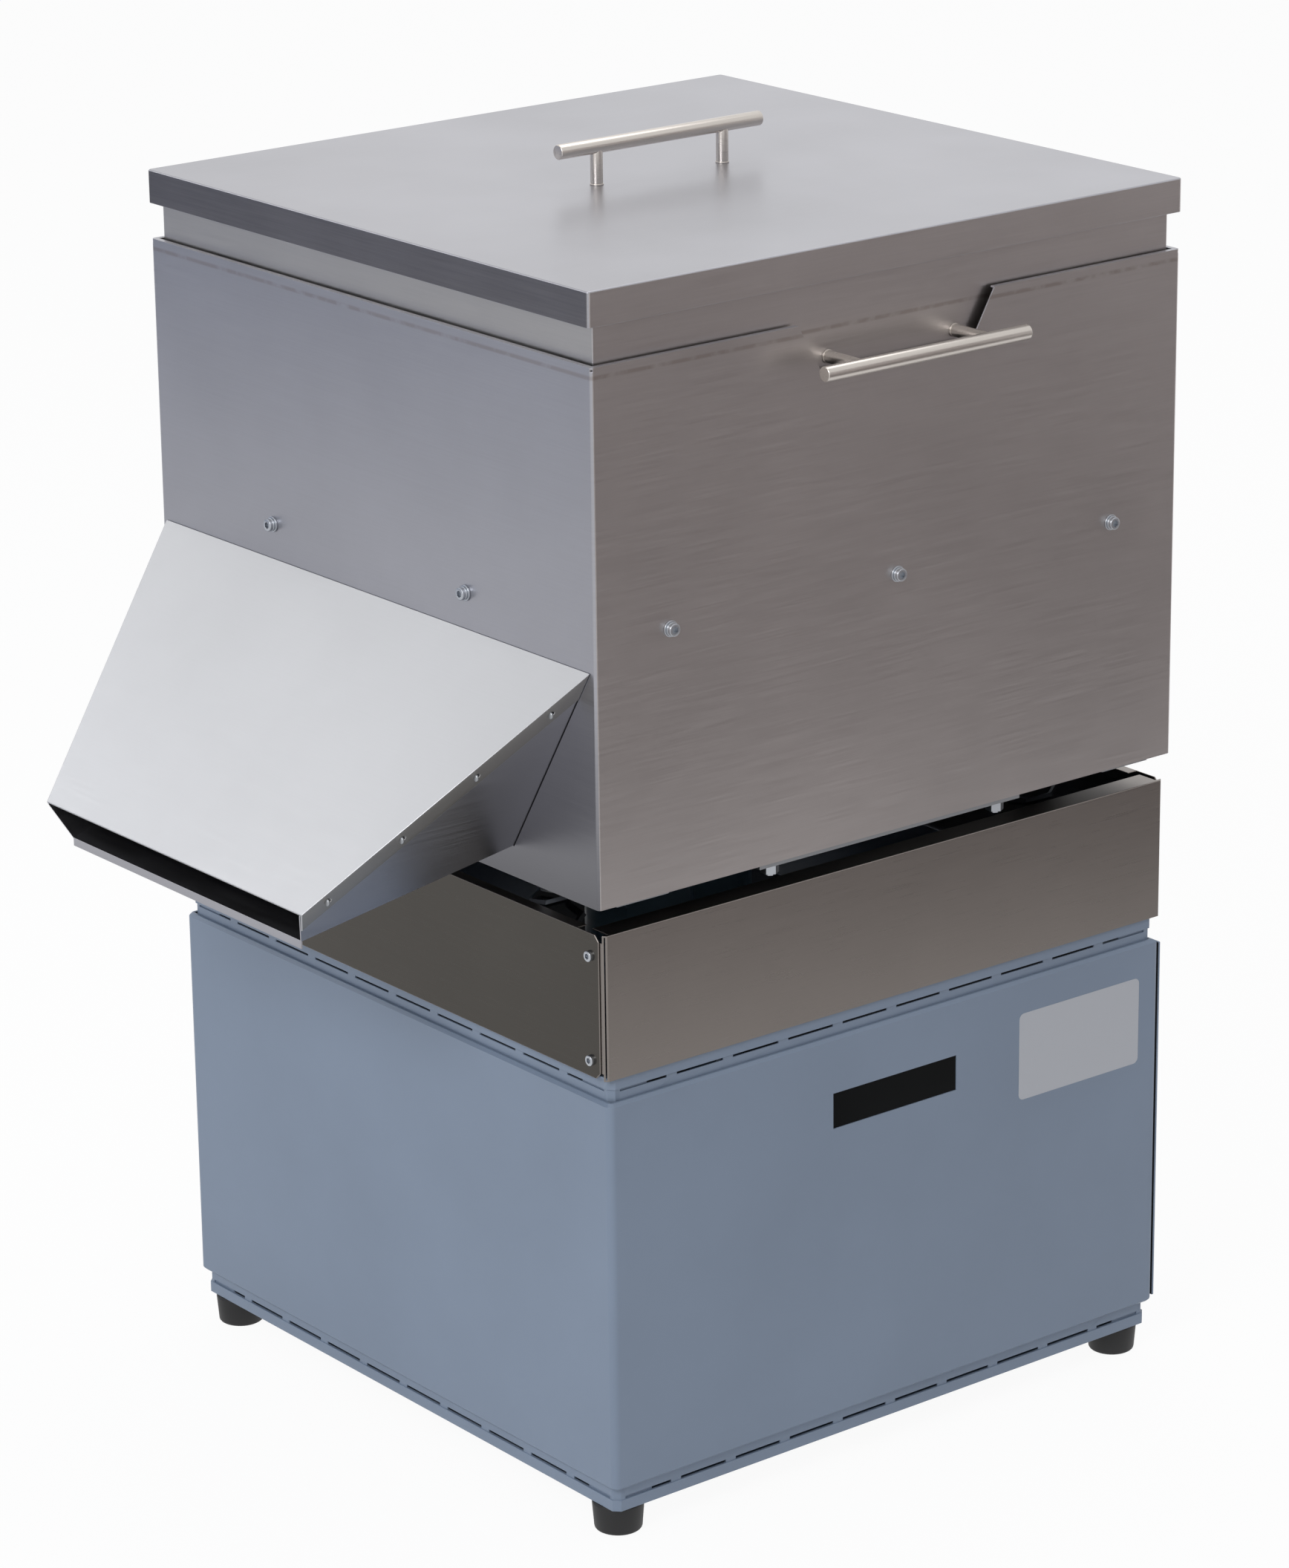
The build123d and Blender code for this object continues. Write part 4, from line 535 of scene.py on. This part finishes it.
def add_world(context):
    """A pale room that shows white and lights the machine softly."""
    world = bpy.data.worlds.new("pale room")
    context.scene.world = world
    world.use_nodes = True
    tree = world.node_tree
    tree.nodes.clear()
    shown = add_node(tree, "ShaderNodeBackground", inputs={"Color": linear("#FFFFFF"), "Strength": 1.0})
    light = add_node(tree, "ShaderNodeBackground", inputs={"Color": linear("#F4F6FA"), "Strength": 0.55})
    mix = add_node(tree, "ShaderNodeMixShader",
                   inputs={0: seen_directly(tree), 1: light.outputs[0], 2: shown.outputs[0]})
    add_node(tree, "ShaderNodeOutputWorld", inputs={"Surface": mix.outputs[0]})
    context.scene.view_settings.view_transform = "Standard"


def add_lamp(name, place, target, size, watts):
    """A soft white area lamp that looks at a target."""
    data = bpy.data.lights.new(name, "AREA")
    data.shape = "RECTANGLE"
    data.size, data.size_y = size
    data.energy = watts
    lamp = bpy.data.objects.new(name, data)
    bpy.context.collection.objects.link(lamp)
    lamp.location = place
    lamp.rotation_euler = (Vector(target) - Vector(place)).to_track_quat("-Z", "Y").to_euler()


def add_lamps():
    """The lamps, which light the machine at a plain level."""
    middle = (0, AXIS_Y, 0.5)
    add_lamp("soft key", (1.9, -3.9, 3.2), middle, (2.0, 1.6), 95)
    add_lamp("soft fill", (-3.2, -2.2, 2.4), middle, (1.8, 1.6), 20)
    add_lamp("top", (-0.4, 0.8, 3.6), middle, (2.2, 2.2), 25)
    add_lamp("back glow", (-3.0, 2.4, 2.4), middle, (2.0, 1.0), 1.0)


def add_floor():
    """A pale floor that shows near white and keeps the machine's soft shadow."""
    bpy.ops.mesh.primitive_plane_add(size=60, location=(0, 0, 0))
    floor = bpy.context.view_layer.objects.active
    floor.name = "floor"
    material, tree, shader = new_material("pale floor", linear("#F6F6F6"), 0.0, 0.9)
    glow = add_node(tree, "ShaderNodeEmission", inputs={"Color": linear("#FFFFFF"), "Strength": 1.0})
    share = add_node(tree, "ShaderNodeMath", {"operation": "MULTIPLY"}, {0: seen_directly(tree), 1: 0.94})
    mix = add_node(tree, "ShaderNodeMixShader",
                   inputs={0: share.outputs["Value"], 1: shader.outputs[0], 2: glow.outputs[0]})
    tree.links.new(mix.outputs[0], tree.nodes["Material Output"].inputs["Surface"])
    floor.data.materials.append(material)


def add_card(name, place, turn, width, height, hex_colour):
    """An upright card out of the picture, which the bright steel mirrors as the room's wall."""
    bpy.ops.mesh.primitive_plane_add(size=1, location=place, rotation=turn)
    card = bpy.context.view_layer.objects.active
    card.name = name.replace(" ", "_")
    card.scale = (height, width, 1)
    apply_place(card)
    card.data.materials.append(plain_finish(name, linear(hex_colour), 0.0, 0.9))


class SIFTER_OT_finishes(bpy.types.Operator):
    """The finish of every CAD node, by its slot in the record"""
    bl_idname = "sifter.finishes"
    bl_label = "Finishes"

    def execute(self, context):
        MATERIALS.update(make_materials())
        for row in frame["record"]["subparts"]:
            node = frame["nodes"][row["node"]]
            node.data.materials.clear()
            node.data.materials.append(MATERIALS[row["material_slot"]])
        return {"FINISHED"}


SHEETS = {
    # node: (edge rounding in mm, finish)
    "body_casing": (0.5, "stainless_body"),
    "lid_shell": (0.6, "stainless_lid"),
    "hopper_walls": (0.25, "stainless_sheet"),
    "chute_cover": (0.9, "stainless_chute"),
    "flour_trough": (0.4, "stainless_sheet"),
    "base_casing": (0.4, "blue_grey_paint"),
    "rear_cover": (0.5, "blue_grey_paint"),
    "frame_right_panel": (0.5, "stainless_panel"),
    "frame_left_panel": (0.5, "stainless_panel"),
    "frame_front_panel": (0.5, "stainless_panel"),
    "frame_rear_panel": (0.5, "stainless_panel"),
    "starter_box": (1.5, "grey_plastic"),
    "start_button": (0.8, "green_plastic"),
    "stop_button": (0.8, "red_plastic"),
    "motor_terminal_box": (1.5, "motor_cap_paint"),
}

ROUND_PIECES = (
    "motor_housing", "motor_end_shields", "motor_bearings", "motor_caps", "motor_stator", "rotor_shaft", "rotor_core",
    "eccentric_weights", "lower_spring_seats", "upper_spring_seats", "cable_gland",
)

# node, finish, way: the faces of a node that look this way have another finish. On the left half the way is mirrored.
# The chute's flanges look outwards and down, at the slant of the trough's walls.
# Most of these finishes are copies of one sheet with painted light: lighter sides and hopper front, and painted shade
# on the lid skirt, chute flanges and frame front
OTHER_FACES = (
    ("body_casing", "stainless_side_painted_reflection", (1, 0, 0)),
    ("hopper_walls", "stainless_side_painted_reflection", (1, 0, 0)),
    ("hopper_walls", "stainless_hopper_painted_light", (0, -1, 0)),
    ("lid_shell", "stainless_side_painted_reflection", (1, 0, 0)),
    ("lid_shell", "stainless_skirt_wear_and_painted_shade", (0, -1, 0)),
    ("chute_cover", "stainless_flange_painted_shade", (0.854, 0, -0.52)),
    ("frame_front_panel", "stainless_shade", (0, -1, 0)),
)


def other_finish(sheet, finish, way):
    """Give the faces of a sheet that look one way, or its mirrored way on the left half, another finish."""
    sheet.data.materials.append(MATERIALS[finish])
    index = len(sheet.data.materials) - 1
    for face in sheet.data.polygons:
        mirrored = Vector((abs(face.normal.x), face.normal.y, face.normal.z))
        if mirrored.dot(Vector(way)) > 0.95:
            face.material_index = index


def paint_shade_inside(sheet):
    """Give the faces that look towards the machine's middle line the near-black painted shade of the base's inside."""
    sheet.data.materials.append(MATERIALS["painted_shade_inside"])
    for face in sheet.data.polygons:
        out = Vector((face.center.x, face.center.y - AXIS_Y, 0))
        if abs(face.normal.z) < 0.2 and face.normal.dot(out.normalized()) < -0.3:
            face.material_index = 1


def bevel_edges(piece, width, degrees, segments=2):
    """Round the edges that are sharper than an angle."""
    bevel = piece.modifiers.new("edges", "BEVEL")
    bevel.width = width
    bevel.segments = segments
    bevel.limit_method = "ANGLE"
    bevel.angle_limit = math.radians(degrees)
    bevel.use_clamp_overlap = True
    select(piece)
    bpy.ops.object.modifier_apply(modifier="edges")


def triangulate(piece):
    """Cut a piece's faces to triangles."""
    select(piece)
    bpy.ops.object.mode_set(mode="EDIT")
    bpy.ops.mesh.select_all(action="SELECT")
    bpy.ops.mesh.quads_convert_to_tris(quad_method="BEAUTY", ngon_method="BEAUTY")
    bpy.ops.object.mode_set(mode="OBJECT")


def round_edges(piece, width, degrees=40):
    """Round a piece's edges by a width, with even shading of its large flat faces.
    Where that would close an open rim, whose face has a hole, the faces are cut to triangles first."""
    before = drawn_area(piece.data)
    plain = piece.data.copy()
    bevel_edges(piece, width, degrees)
    if abs(drawn_area(piece.data) - before) > 0.03 * before:
        piece.data = plain
        triangulate(piece)
        bevel_edges(piece, width, degrees)
    smooth(piece, degrees)
    even_normals(piece)


def record_slots():
    """The material slot of each node in the record."""
    return {row["node"]: row["material_slot"] for row in frame["record"]["subparts"]}


def cut(piece, cutters):
    """Cut pieces out of a piece, and remove them."""
    tool = join(cutters, "cutter")
    taken = piece.modifiers.new("cut", "BOOLEAN")
    taken.operation = "DIFFERENCE"
    taken.solver = "EXACT"
    taken.object = tool
    select(piece)
    bpy.ops.object.modifier_apply(modifier="cut")
    bpy.data.objects.remove(tool)


class SIFTER_OT_sheets(bpy.types.Operator):
    """The bent sheets, with the small rounded edges that catch the light"""
    bl_idname = "sifter.sheets"
    bl_label = "Bent sheets"

    def execute(self, context):
        slots = record_slots()
        for node, (rounding, finish) in SHEETS.items():
            sheet = twin(node, node + "_sheet")
            if node == "body_casing":
                cut(sheet, relief_cutters())
            round_edges(sheet, rounding * MM)
            finish_piece(sheet, BODY_OF[node], slots[node], MATERIALS[finish], node)
            for other_node, other, way in OTHER_FACES:
                if other_node == node:
                    other_finish(sheet, other, way)
            # The base's inside faces get painted shade
            if node in ("base_casing", "rear_cover"):
                paint_shade_inside(sheet)
        return {"FINISHED"}


def relief_cutters():
    """Small upright rods at the top corners of the body, where the folded sheet has its relief holes."""
    low, high = (Vector(c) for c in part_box("body_casing"))
    # The front wall stands as far before the machine's middle line as the rear wall stands behind it
    y_low = 2 * AXIS_Y - high.y
    rods = []
    for x in (low.x, high.x):
        for y in (y_low, high.y):
            rods.append(round_bar(sizes().relief, RELIEF_DEPTH, (x, y, high.z - RELIEF_BELOW_RIM), 2, 16))
    return rods


class SIFTER_OT_rings(bpy.types.Operator):
    """The folded rings under and over the base, with the slots along their step"""
    bl_idname = "sifter.rings"
    bl_label = "Slotted rings"

    def execute(self, context):
        for node, way in (("base_bottom_frame", 1), ("base_top_frame", -1)):
            low, high = (Vector(c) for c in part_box(node))
            step = (low.z if way > 0 else high.z) + way * RING_STEP
            ring = twin(node, node + "_ring")
            round_edges(ring, 0.4 * MM)
            cut(ring, slot_cutters(low, high, step + way * sizes().slot_height / 2))
            finish_piece(ring, BODY_OF[node], record_slots()[node], MATERIALS["blue_grey_paint"], node)
        return {"FINISHED"}


def slot_cutters(low, high, level):
    """A row of flat blocks through each side of a ring at a level."""
    s = sizes()
    blocks = []
    for axis in (0, 1):
        other = 1 - axis
        middle = (low[axis] + high[axis]) / 2
        count = int((high[axis] - low[axis]) / s.slot_pitch)
        for face in (low[other], high[other]):
            for i in range(count):
                place = Vector((0, 0, level))
                place[axis] = middle + (i - (count - 1) / 2) * s.slot_pitch
                place[other] = face
                size = [0, 0, s.slot_height]
                size[axis] = s.slot_length
                size[other] = SLOT_DEPTH
                deselect()
                bpy.ops.mesh.primitive_cube_add(size=1, location=place, scale=size)
                blocks.append(bpy.context.view_layer.objects.active)
    return blocks


class SIFTER_OT_round_pieces(bpy.types.Operator):
    """The turned and cast pieces of the motor, the spring seats and the gland, shaded round"""
    bl_idname = "sifter.round_pieces"
    bl_label = "Round pieces"

    def execute(self, context):
        slots = record_slots()
        for node in ROUND_PIECES:
            piece = twin(node, node + "_round")
            smooth(piece, 35)
            even_normals(piece)
            finish_piece(piece, BODY_OF[node], slots[node], MATERIALS[slots[node]], node)
        return {"FINISHED"}


class SIFTER_OT_mesh(bpy.types.Operator):
    """The sieve's woven wire mesh, with a coarser pitch than the real one"""
    bl_idname = "sifter.mesh"
    bl_label = "Sieve mesh"

    def execute(self, context):
        low, high = (Vector(c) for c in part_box("sieve_mesh"))
        middle = (low + high) / 2
        wires = []
        for axis in (0, 1):
            other = 1 - axis
            span = high[other] - low[other]
            count = int(span / sizes().mesh_pitch)
            level = middle.copy()
            level.z += (0.5 - axis) * sizes().mesh_wire
            first = round_bar(sizes().mesh_wire / 2, high[axis] - low[axis], level, axis, 5)
            for i in range(count):
                wire = copy_of(first)
                wire.location[other] += (i - (count - 1) / 2) * sizes().mesh_pitch
                wires.append(wire)
            bpy.data.objects.remove(first)
        mesh = join(wires, "woven_mesh")
        smooth(mesh)
        finish_piece(mesh, "sieve", record_slots()["sieve_mesh"], MATERIALS["stainless_bar"], "sieve_mesh")
        return {"FINISHED"}


def round_bar(radius, length, centre, axis, steps, bevel=0.0):
    """A round bar along an axis, 0 for X, 1 for Y or 2 for Z, with its end edges rounded."""
    turn = ((0, math.pi / 2, 0), (math.pi / 2, 0, 0), (0, 0, 0))[axis]
    deselect()
    bpy.ops.mesh.primitive_cylinder_add(vertices=steps, radius=radius, depth=length, location=centre, rotation=turn)
    bar = bpy.context.view_layer.objects.active
    if bevel > 0:
        bevel_edges(bar, bevel, 60, segments=3)
    return bar


def cap_head(radius, height, socket, depth, steps):
    """A socket cap screw's head, standing on the origin along +Z, with its hexagon socket sunk in the top."""
    head = round_bar(radius, height, (0, 0, height / 2), 2, steps, radius * 0.12)
    deselect()
    bpy.ops.mesh.primitive_cylinder_add(vertices=6, radius=socket / math.sqrt(3), depth=2 * depth,
                                        location=(0, 0, height))
    cut(head, [bpy.context.view_layer.objects.active])
    return head


def stand(piece, place, axis, side):
    """Turn a piece that stands along +Z to stand along an axis on one side of the machine, at a place."""
    way = Vector((0, 0, 0))
    way[axis] = side
    piece.matrix_world = Matrix.Translation(place) @ way.to_track_quat("Z", "Y").to_matrix().to_4x4()


def copy_of(piece):
    """A copy of a piece with its own mesh."""
    copy = piece.copy()
    copy.data = piece.data.copy()
    bpy.context.collection.objects.link(copy)
    return copy


def screw_heads(node, name, head_radius, head_height, plain_height, washers):
    """Cap screws in place of a node's plain ones: washers given as radius and thickness, then the head.
    A plain head's height, from its tip back to the wall, tells where the wall is."""
    steps = sizes().round_steps
    socket = 2 * head_radius * sizes().socket_share
    stack = sum(thick for _, thick in washers)
    model = [cap_head(head_radius, head_height, socket, head_height * 0.55, steps)]
    model[0].location.z = stack
    level = 0.0
    for radius, thick in washers:
        model.append(round_bar(radius, thick, (0, 0, level + thick / 2), 2, steps, thick * 0.25))
        level += thick
    model = join(model, name + "_model")
    copies = []
    for low, high in solids(node):
        axis, side = outward(low, high)
        place = (low + high) / 2
        tip = high[axis] if side > 0 else low[axis]
        place[axis] = tip - side * plain_height
        copy = copy_of(model)
        stand(copy, place, axis, side)
        copies.append(copy)
    bpy.data.objects.remove(model)
    heads = join(copies, name)
    smooth(heads)
    return heads


class SIFTER_OT_body_screws(bpy.types.Operator):
    """The socket cap screws through the body's walls, each on a washer and a spring washer"""
    bl_idname = "sifter.body_screws"
    bl_label = "Body screws"

    def execute(self, context):
        heads = screw_heads("ledge_screws", "body_screws", *BODY_SCREW)
        finish_piece(heads, "sifting_body", "zinc_steel", MATERIALS["zinc_steel"], "ledge_screws")
        return {"FINISHED"}


class SIFTER_OT_frame_screws(bpy.types.Operator):
    """The small cap screws at the corners of the spring frame's end panels"""
    bl_idname = "sifter.frame_screws"
    bl_label = "Frame screws"

    def execute(self, context):
        heads = screw_heads("frame_screws", "panel_screws", *PANEL_SCREW)
        finish_piece(heads, "base", "zinc_steel", MATERIALS["zinc_steel"], "frame_screws")
        return {"FINISHED"}


class SIFTER_OT_rivets(bpy.types.Operator):
    """The small domed rivets of the chute's cover"""
    bl_idname = "sifter.rivets"
    bl_label = "Chute rivets"

    def execute(self, context):
        domes = []
        for low, high in solids("chute_rivets"):
            radius = (high.x - low.x) / 2
            place = (low + high) / 2
            place.y = low.y + RIVET_DOME
            deselect()
            bpy.ops.mesh.primitive_uv_sphere_add(segments=24, ring_count=12, radius=radius, location=place,
                                                 scale=(1, RIVET_DOME / radius, 1))
            domes.append(bpy.context.view_layer.objects.active)
        domes = join(domes, "rivet_domes")
        smooth(domes)
        finish_piece(domes, "sifting_body", record_slots()["chute_rivets"], MATERIALS["plated_steel"], "chute_rivets")
        return {"FINISHED"}


class SIFTER_OT_feet(bpy.types.Operator):
    """The rubber feet, round and a little wider at the top"""
    bl_idname = "sifter.feet"
    bl_label = "Feet"

    def execute(self, context):
        feet = []
        for low, high in solids("rubber_feet"):
            middle = (low + high) / 2
            top = (high.x - low.x) / 2
            sole = top - FOOT_TAPER
            deselect()
            bpy.ops.mesh.primitive_cone_add(vertices=sizes().round_steps, radius1=sole, radius2=top,
                                            depth=high.z - low.z, location=middle)
            foot = bpy.context.view_layer.objects.active
            bevel_edges(foot, sizes().foot_rim, 50, segments=4)
            feet.append(foot)
        feet = join(feet, "round_feet")
        smooth(feet)
        finish_piece(feet, "base", "black_rubber", MATERIALS["black_rubber"], "rubber_feet")
        return {"FINISHED"}


def handle_piece(node, name, leg_axis):
    """A bar along Y on two legs that run along the given axis, with a thin collar at each leg's foot."""
    low, high = (Vector(c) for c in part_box(node))
    steps = sizes().round_steps
    other = 2 if leg_axis == 0 else 0
    centre = (low + high) / 2
    outwards = 1 if (centre[leg_axis] > 0) else -1
    outer = high[leg_axis] if outwards > 0 else low[leg_axis]
    inner = low[leg_axis] if outwards > 0 else high[leg_axis]
    bar_centre = centre.copy()
    bar_centre[leg_axis] = outer - outwards * BAR_RADIUS
    parts = [round_bar(BAR_RADIUS, high.y - low.y, bar_centre, 1, steps, 0.8 * MM)]
    for y in (-LEG_SPACING / 2, LEG_SPACING / 2):
        leg_length = abs(bar_centre[leg_axis] - inner)
        leg_centre = centre.copy()
        leg_centre.y = AXIS_Y + y
        leg_centre[leg_axis] = (bar_centre[leg_axis] + inner) / 2
        leg_centre[other] = bar_centre[other]
        parts.append(round_bar(LEG_RADIUS, leg_length, leg_centre, leg_axis, steps, 0.4 * MM))
        collar = leg_centre.copy()
        collar[leg_axis] = inner + outwards * COLLAR_THICKNESS / 2
        parts.append(round_bar(LEG_RADIUS + COLLAR_RIM, COLLAR_THICKNESS, collar, leg_axis, steps, 0.3 * MM))
    handle = join(parts, name)
    smooth(handle, 40)
    return handle


class SIFTER_OT_handles(bpy.types.Operator):
    """The three round bar handles"""
    bl_idname = "sifter.handles"
    bl_label = "Handles"

    def execute(self, context):
        for node, leg_axis in (("lid_handle", 2), ("right_handle", 0), ("left_handle", 0)):
            handle = handle_piece(node, node + "_bar", leg_axis)
            finish_piece(handle, BODY_OF[node], "stainless_bar", MATERIALS["stainless_bar"], node)
        return {"FINISHED"}


class SIFTER_OT_plate(bpy.types.Operator):
    """The bare plate on the right side of the base"""
    bl_idname = "sifter.plate"
    bl_label = "Bare plate"

    def execute(self, context):
        width, height = sizes().plate_width, sizes().plate_height
        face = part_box("base_casing")[1][0]
        middle = Vector((face, AXIS_Y + PLATE_BEHIND, PLATE_LEVEL))
        deselect()
        bpy.ops.mesh.primitive_cube_add(size=1, location=middle, scale=(PLATE_THICKNESS, width, height))
        plate = bpy.context.view_layer.objects.active
        apply_place(plate)
        bpy.ops.object.mode_set(mode="EDIT")
        bpy.ops.mesh.select_mode(type="EDGE")
        bpy.ops.mesh.select_all(action="DESELECT")
        bpy.ops.object.mode_set(mode="OBJECT")
        for edge in plate.data.edges:
            a, b = (plate.data.vertices[v].co for v in edge.vertices)
            edge.select = abs(a.x - b.x) > PLATE_THICKNESS / 3
        bpy.ops.object.mode_set(mode="EDIT")
        bpy.ops.mesh.bevel(offset=sizes().plate_corner, segments=6)
        bpy.ops.object.mode_set(mode="OBJECT")
        plate = join([plate], "bare_plate")
        finish_piece(plate, "base", None, MATERIALS["blank_plate"])
        return {"FINISHED"}


OPERATORS = (
    SIFTER_OT_stage, SIFTER_OT_finishes, SIFTER_OT_sheets, SIFTER_OT_rings, SIFTER_OT_round_pieces, SIFTER_OT_mesh,
    SIFTER_OT_body_screws, SIFTER_OT_frame_screws, SIFTER_OT_rivets, SIFTER_OT_feet, SIFTER_OT_handles,
    SIFTER_OT_plate,
)


class SIFTER_PT_panel(bpy.types.Panel):
    """Lists the machine's sizes, colours and pieces"""
    bl_label = "Flour sifting machine"
    bl_space_type = "VIEW_3D"
    bl_region_type = "UI"
    bl_category = "Sifter"

    def draw(self, context):
        for group in (colours(), sizes()):
            box = self.layout.box()
            for key in group.bl_rna.properties.keys():
                if key not in ("rna_type", "name"):
                    box.prop(group, key)
        for operator in OPERATORS:
            self.layout.operator(operator.bl_idname)


CLASSES = (SifterColours, SifterSizes, *OPERATORS, SIFTER_PT_panel)


def register():
    """Make the classes known, and give the scene their properties."""
    for cls in CLASSES:
        bpy.utils.register_class(cls)
    bpy.types.Scene.sifter_colours = PointerProperty(type=SifterColours)
    bpy.types.Scene.sifter_sizes = PointerProperty(type=SifterSizes)


def unregister():
    """Take the properties and the classes away again."""
    del bpy.types.Scene.sifter_sizes
    del bpy.types.Scene.sifter_colours
    for cls in reversed(CLASSES):
        bpy.utils.unregister_class(cls)


def run(operator):
    """Call an operator by its name."""
    group, name = operator.bl_idname.split(".")
    getattr(getattr(bpy.ops, group), name)()


def main():
    """Dress the frame."""
    register()
    for operator in OPERATORS:
        run(operator)
    deselect()


if __name__ == "__main__":
    main()
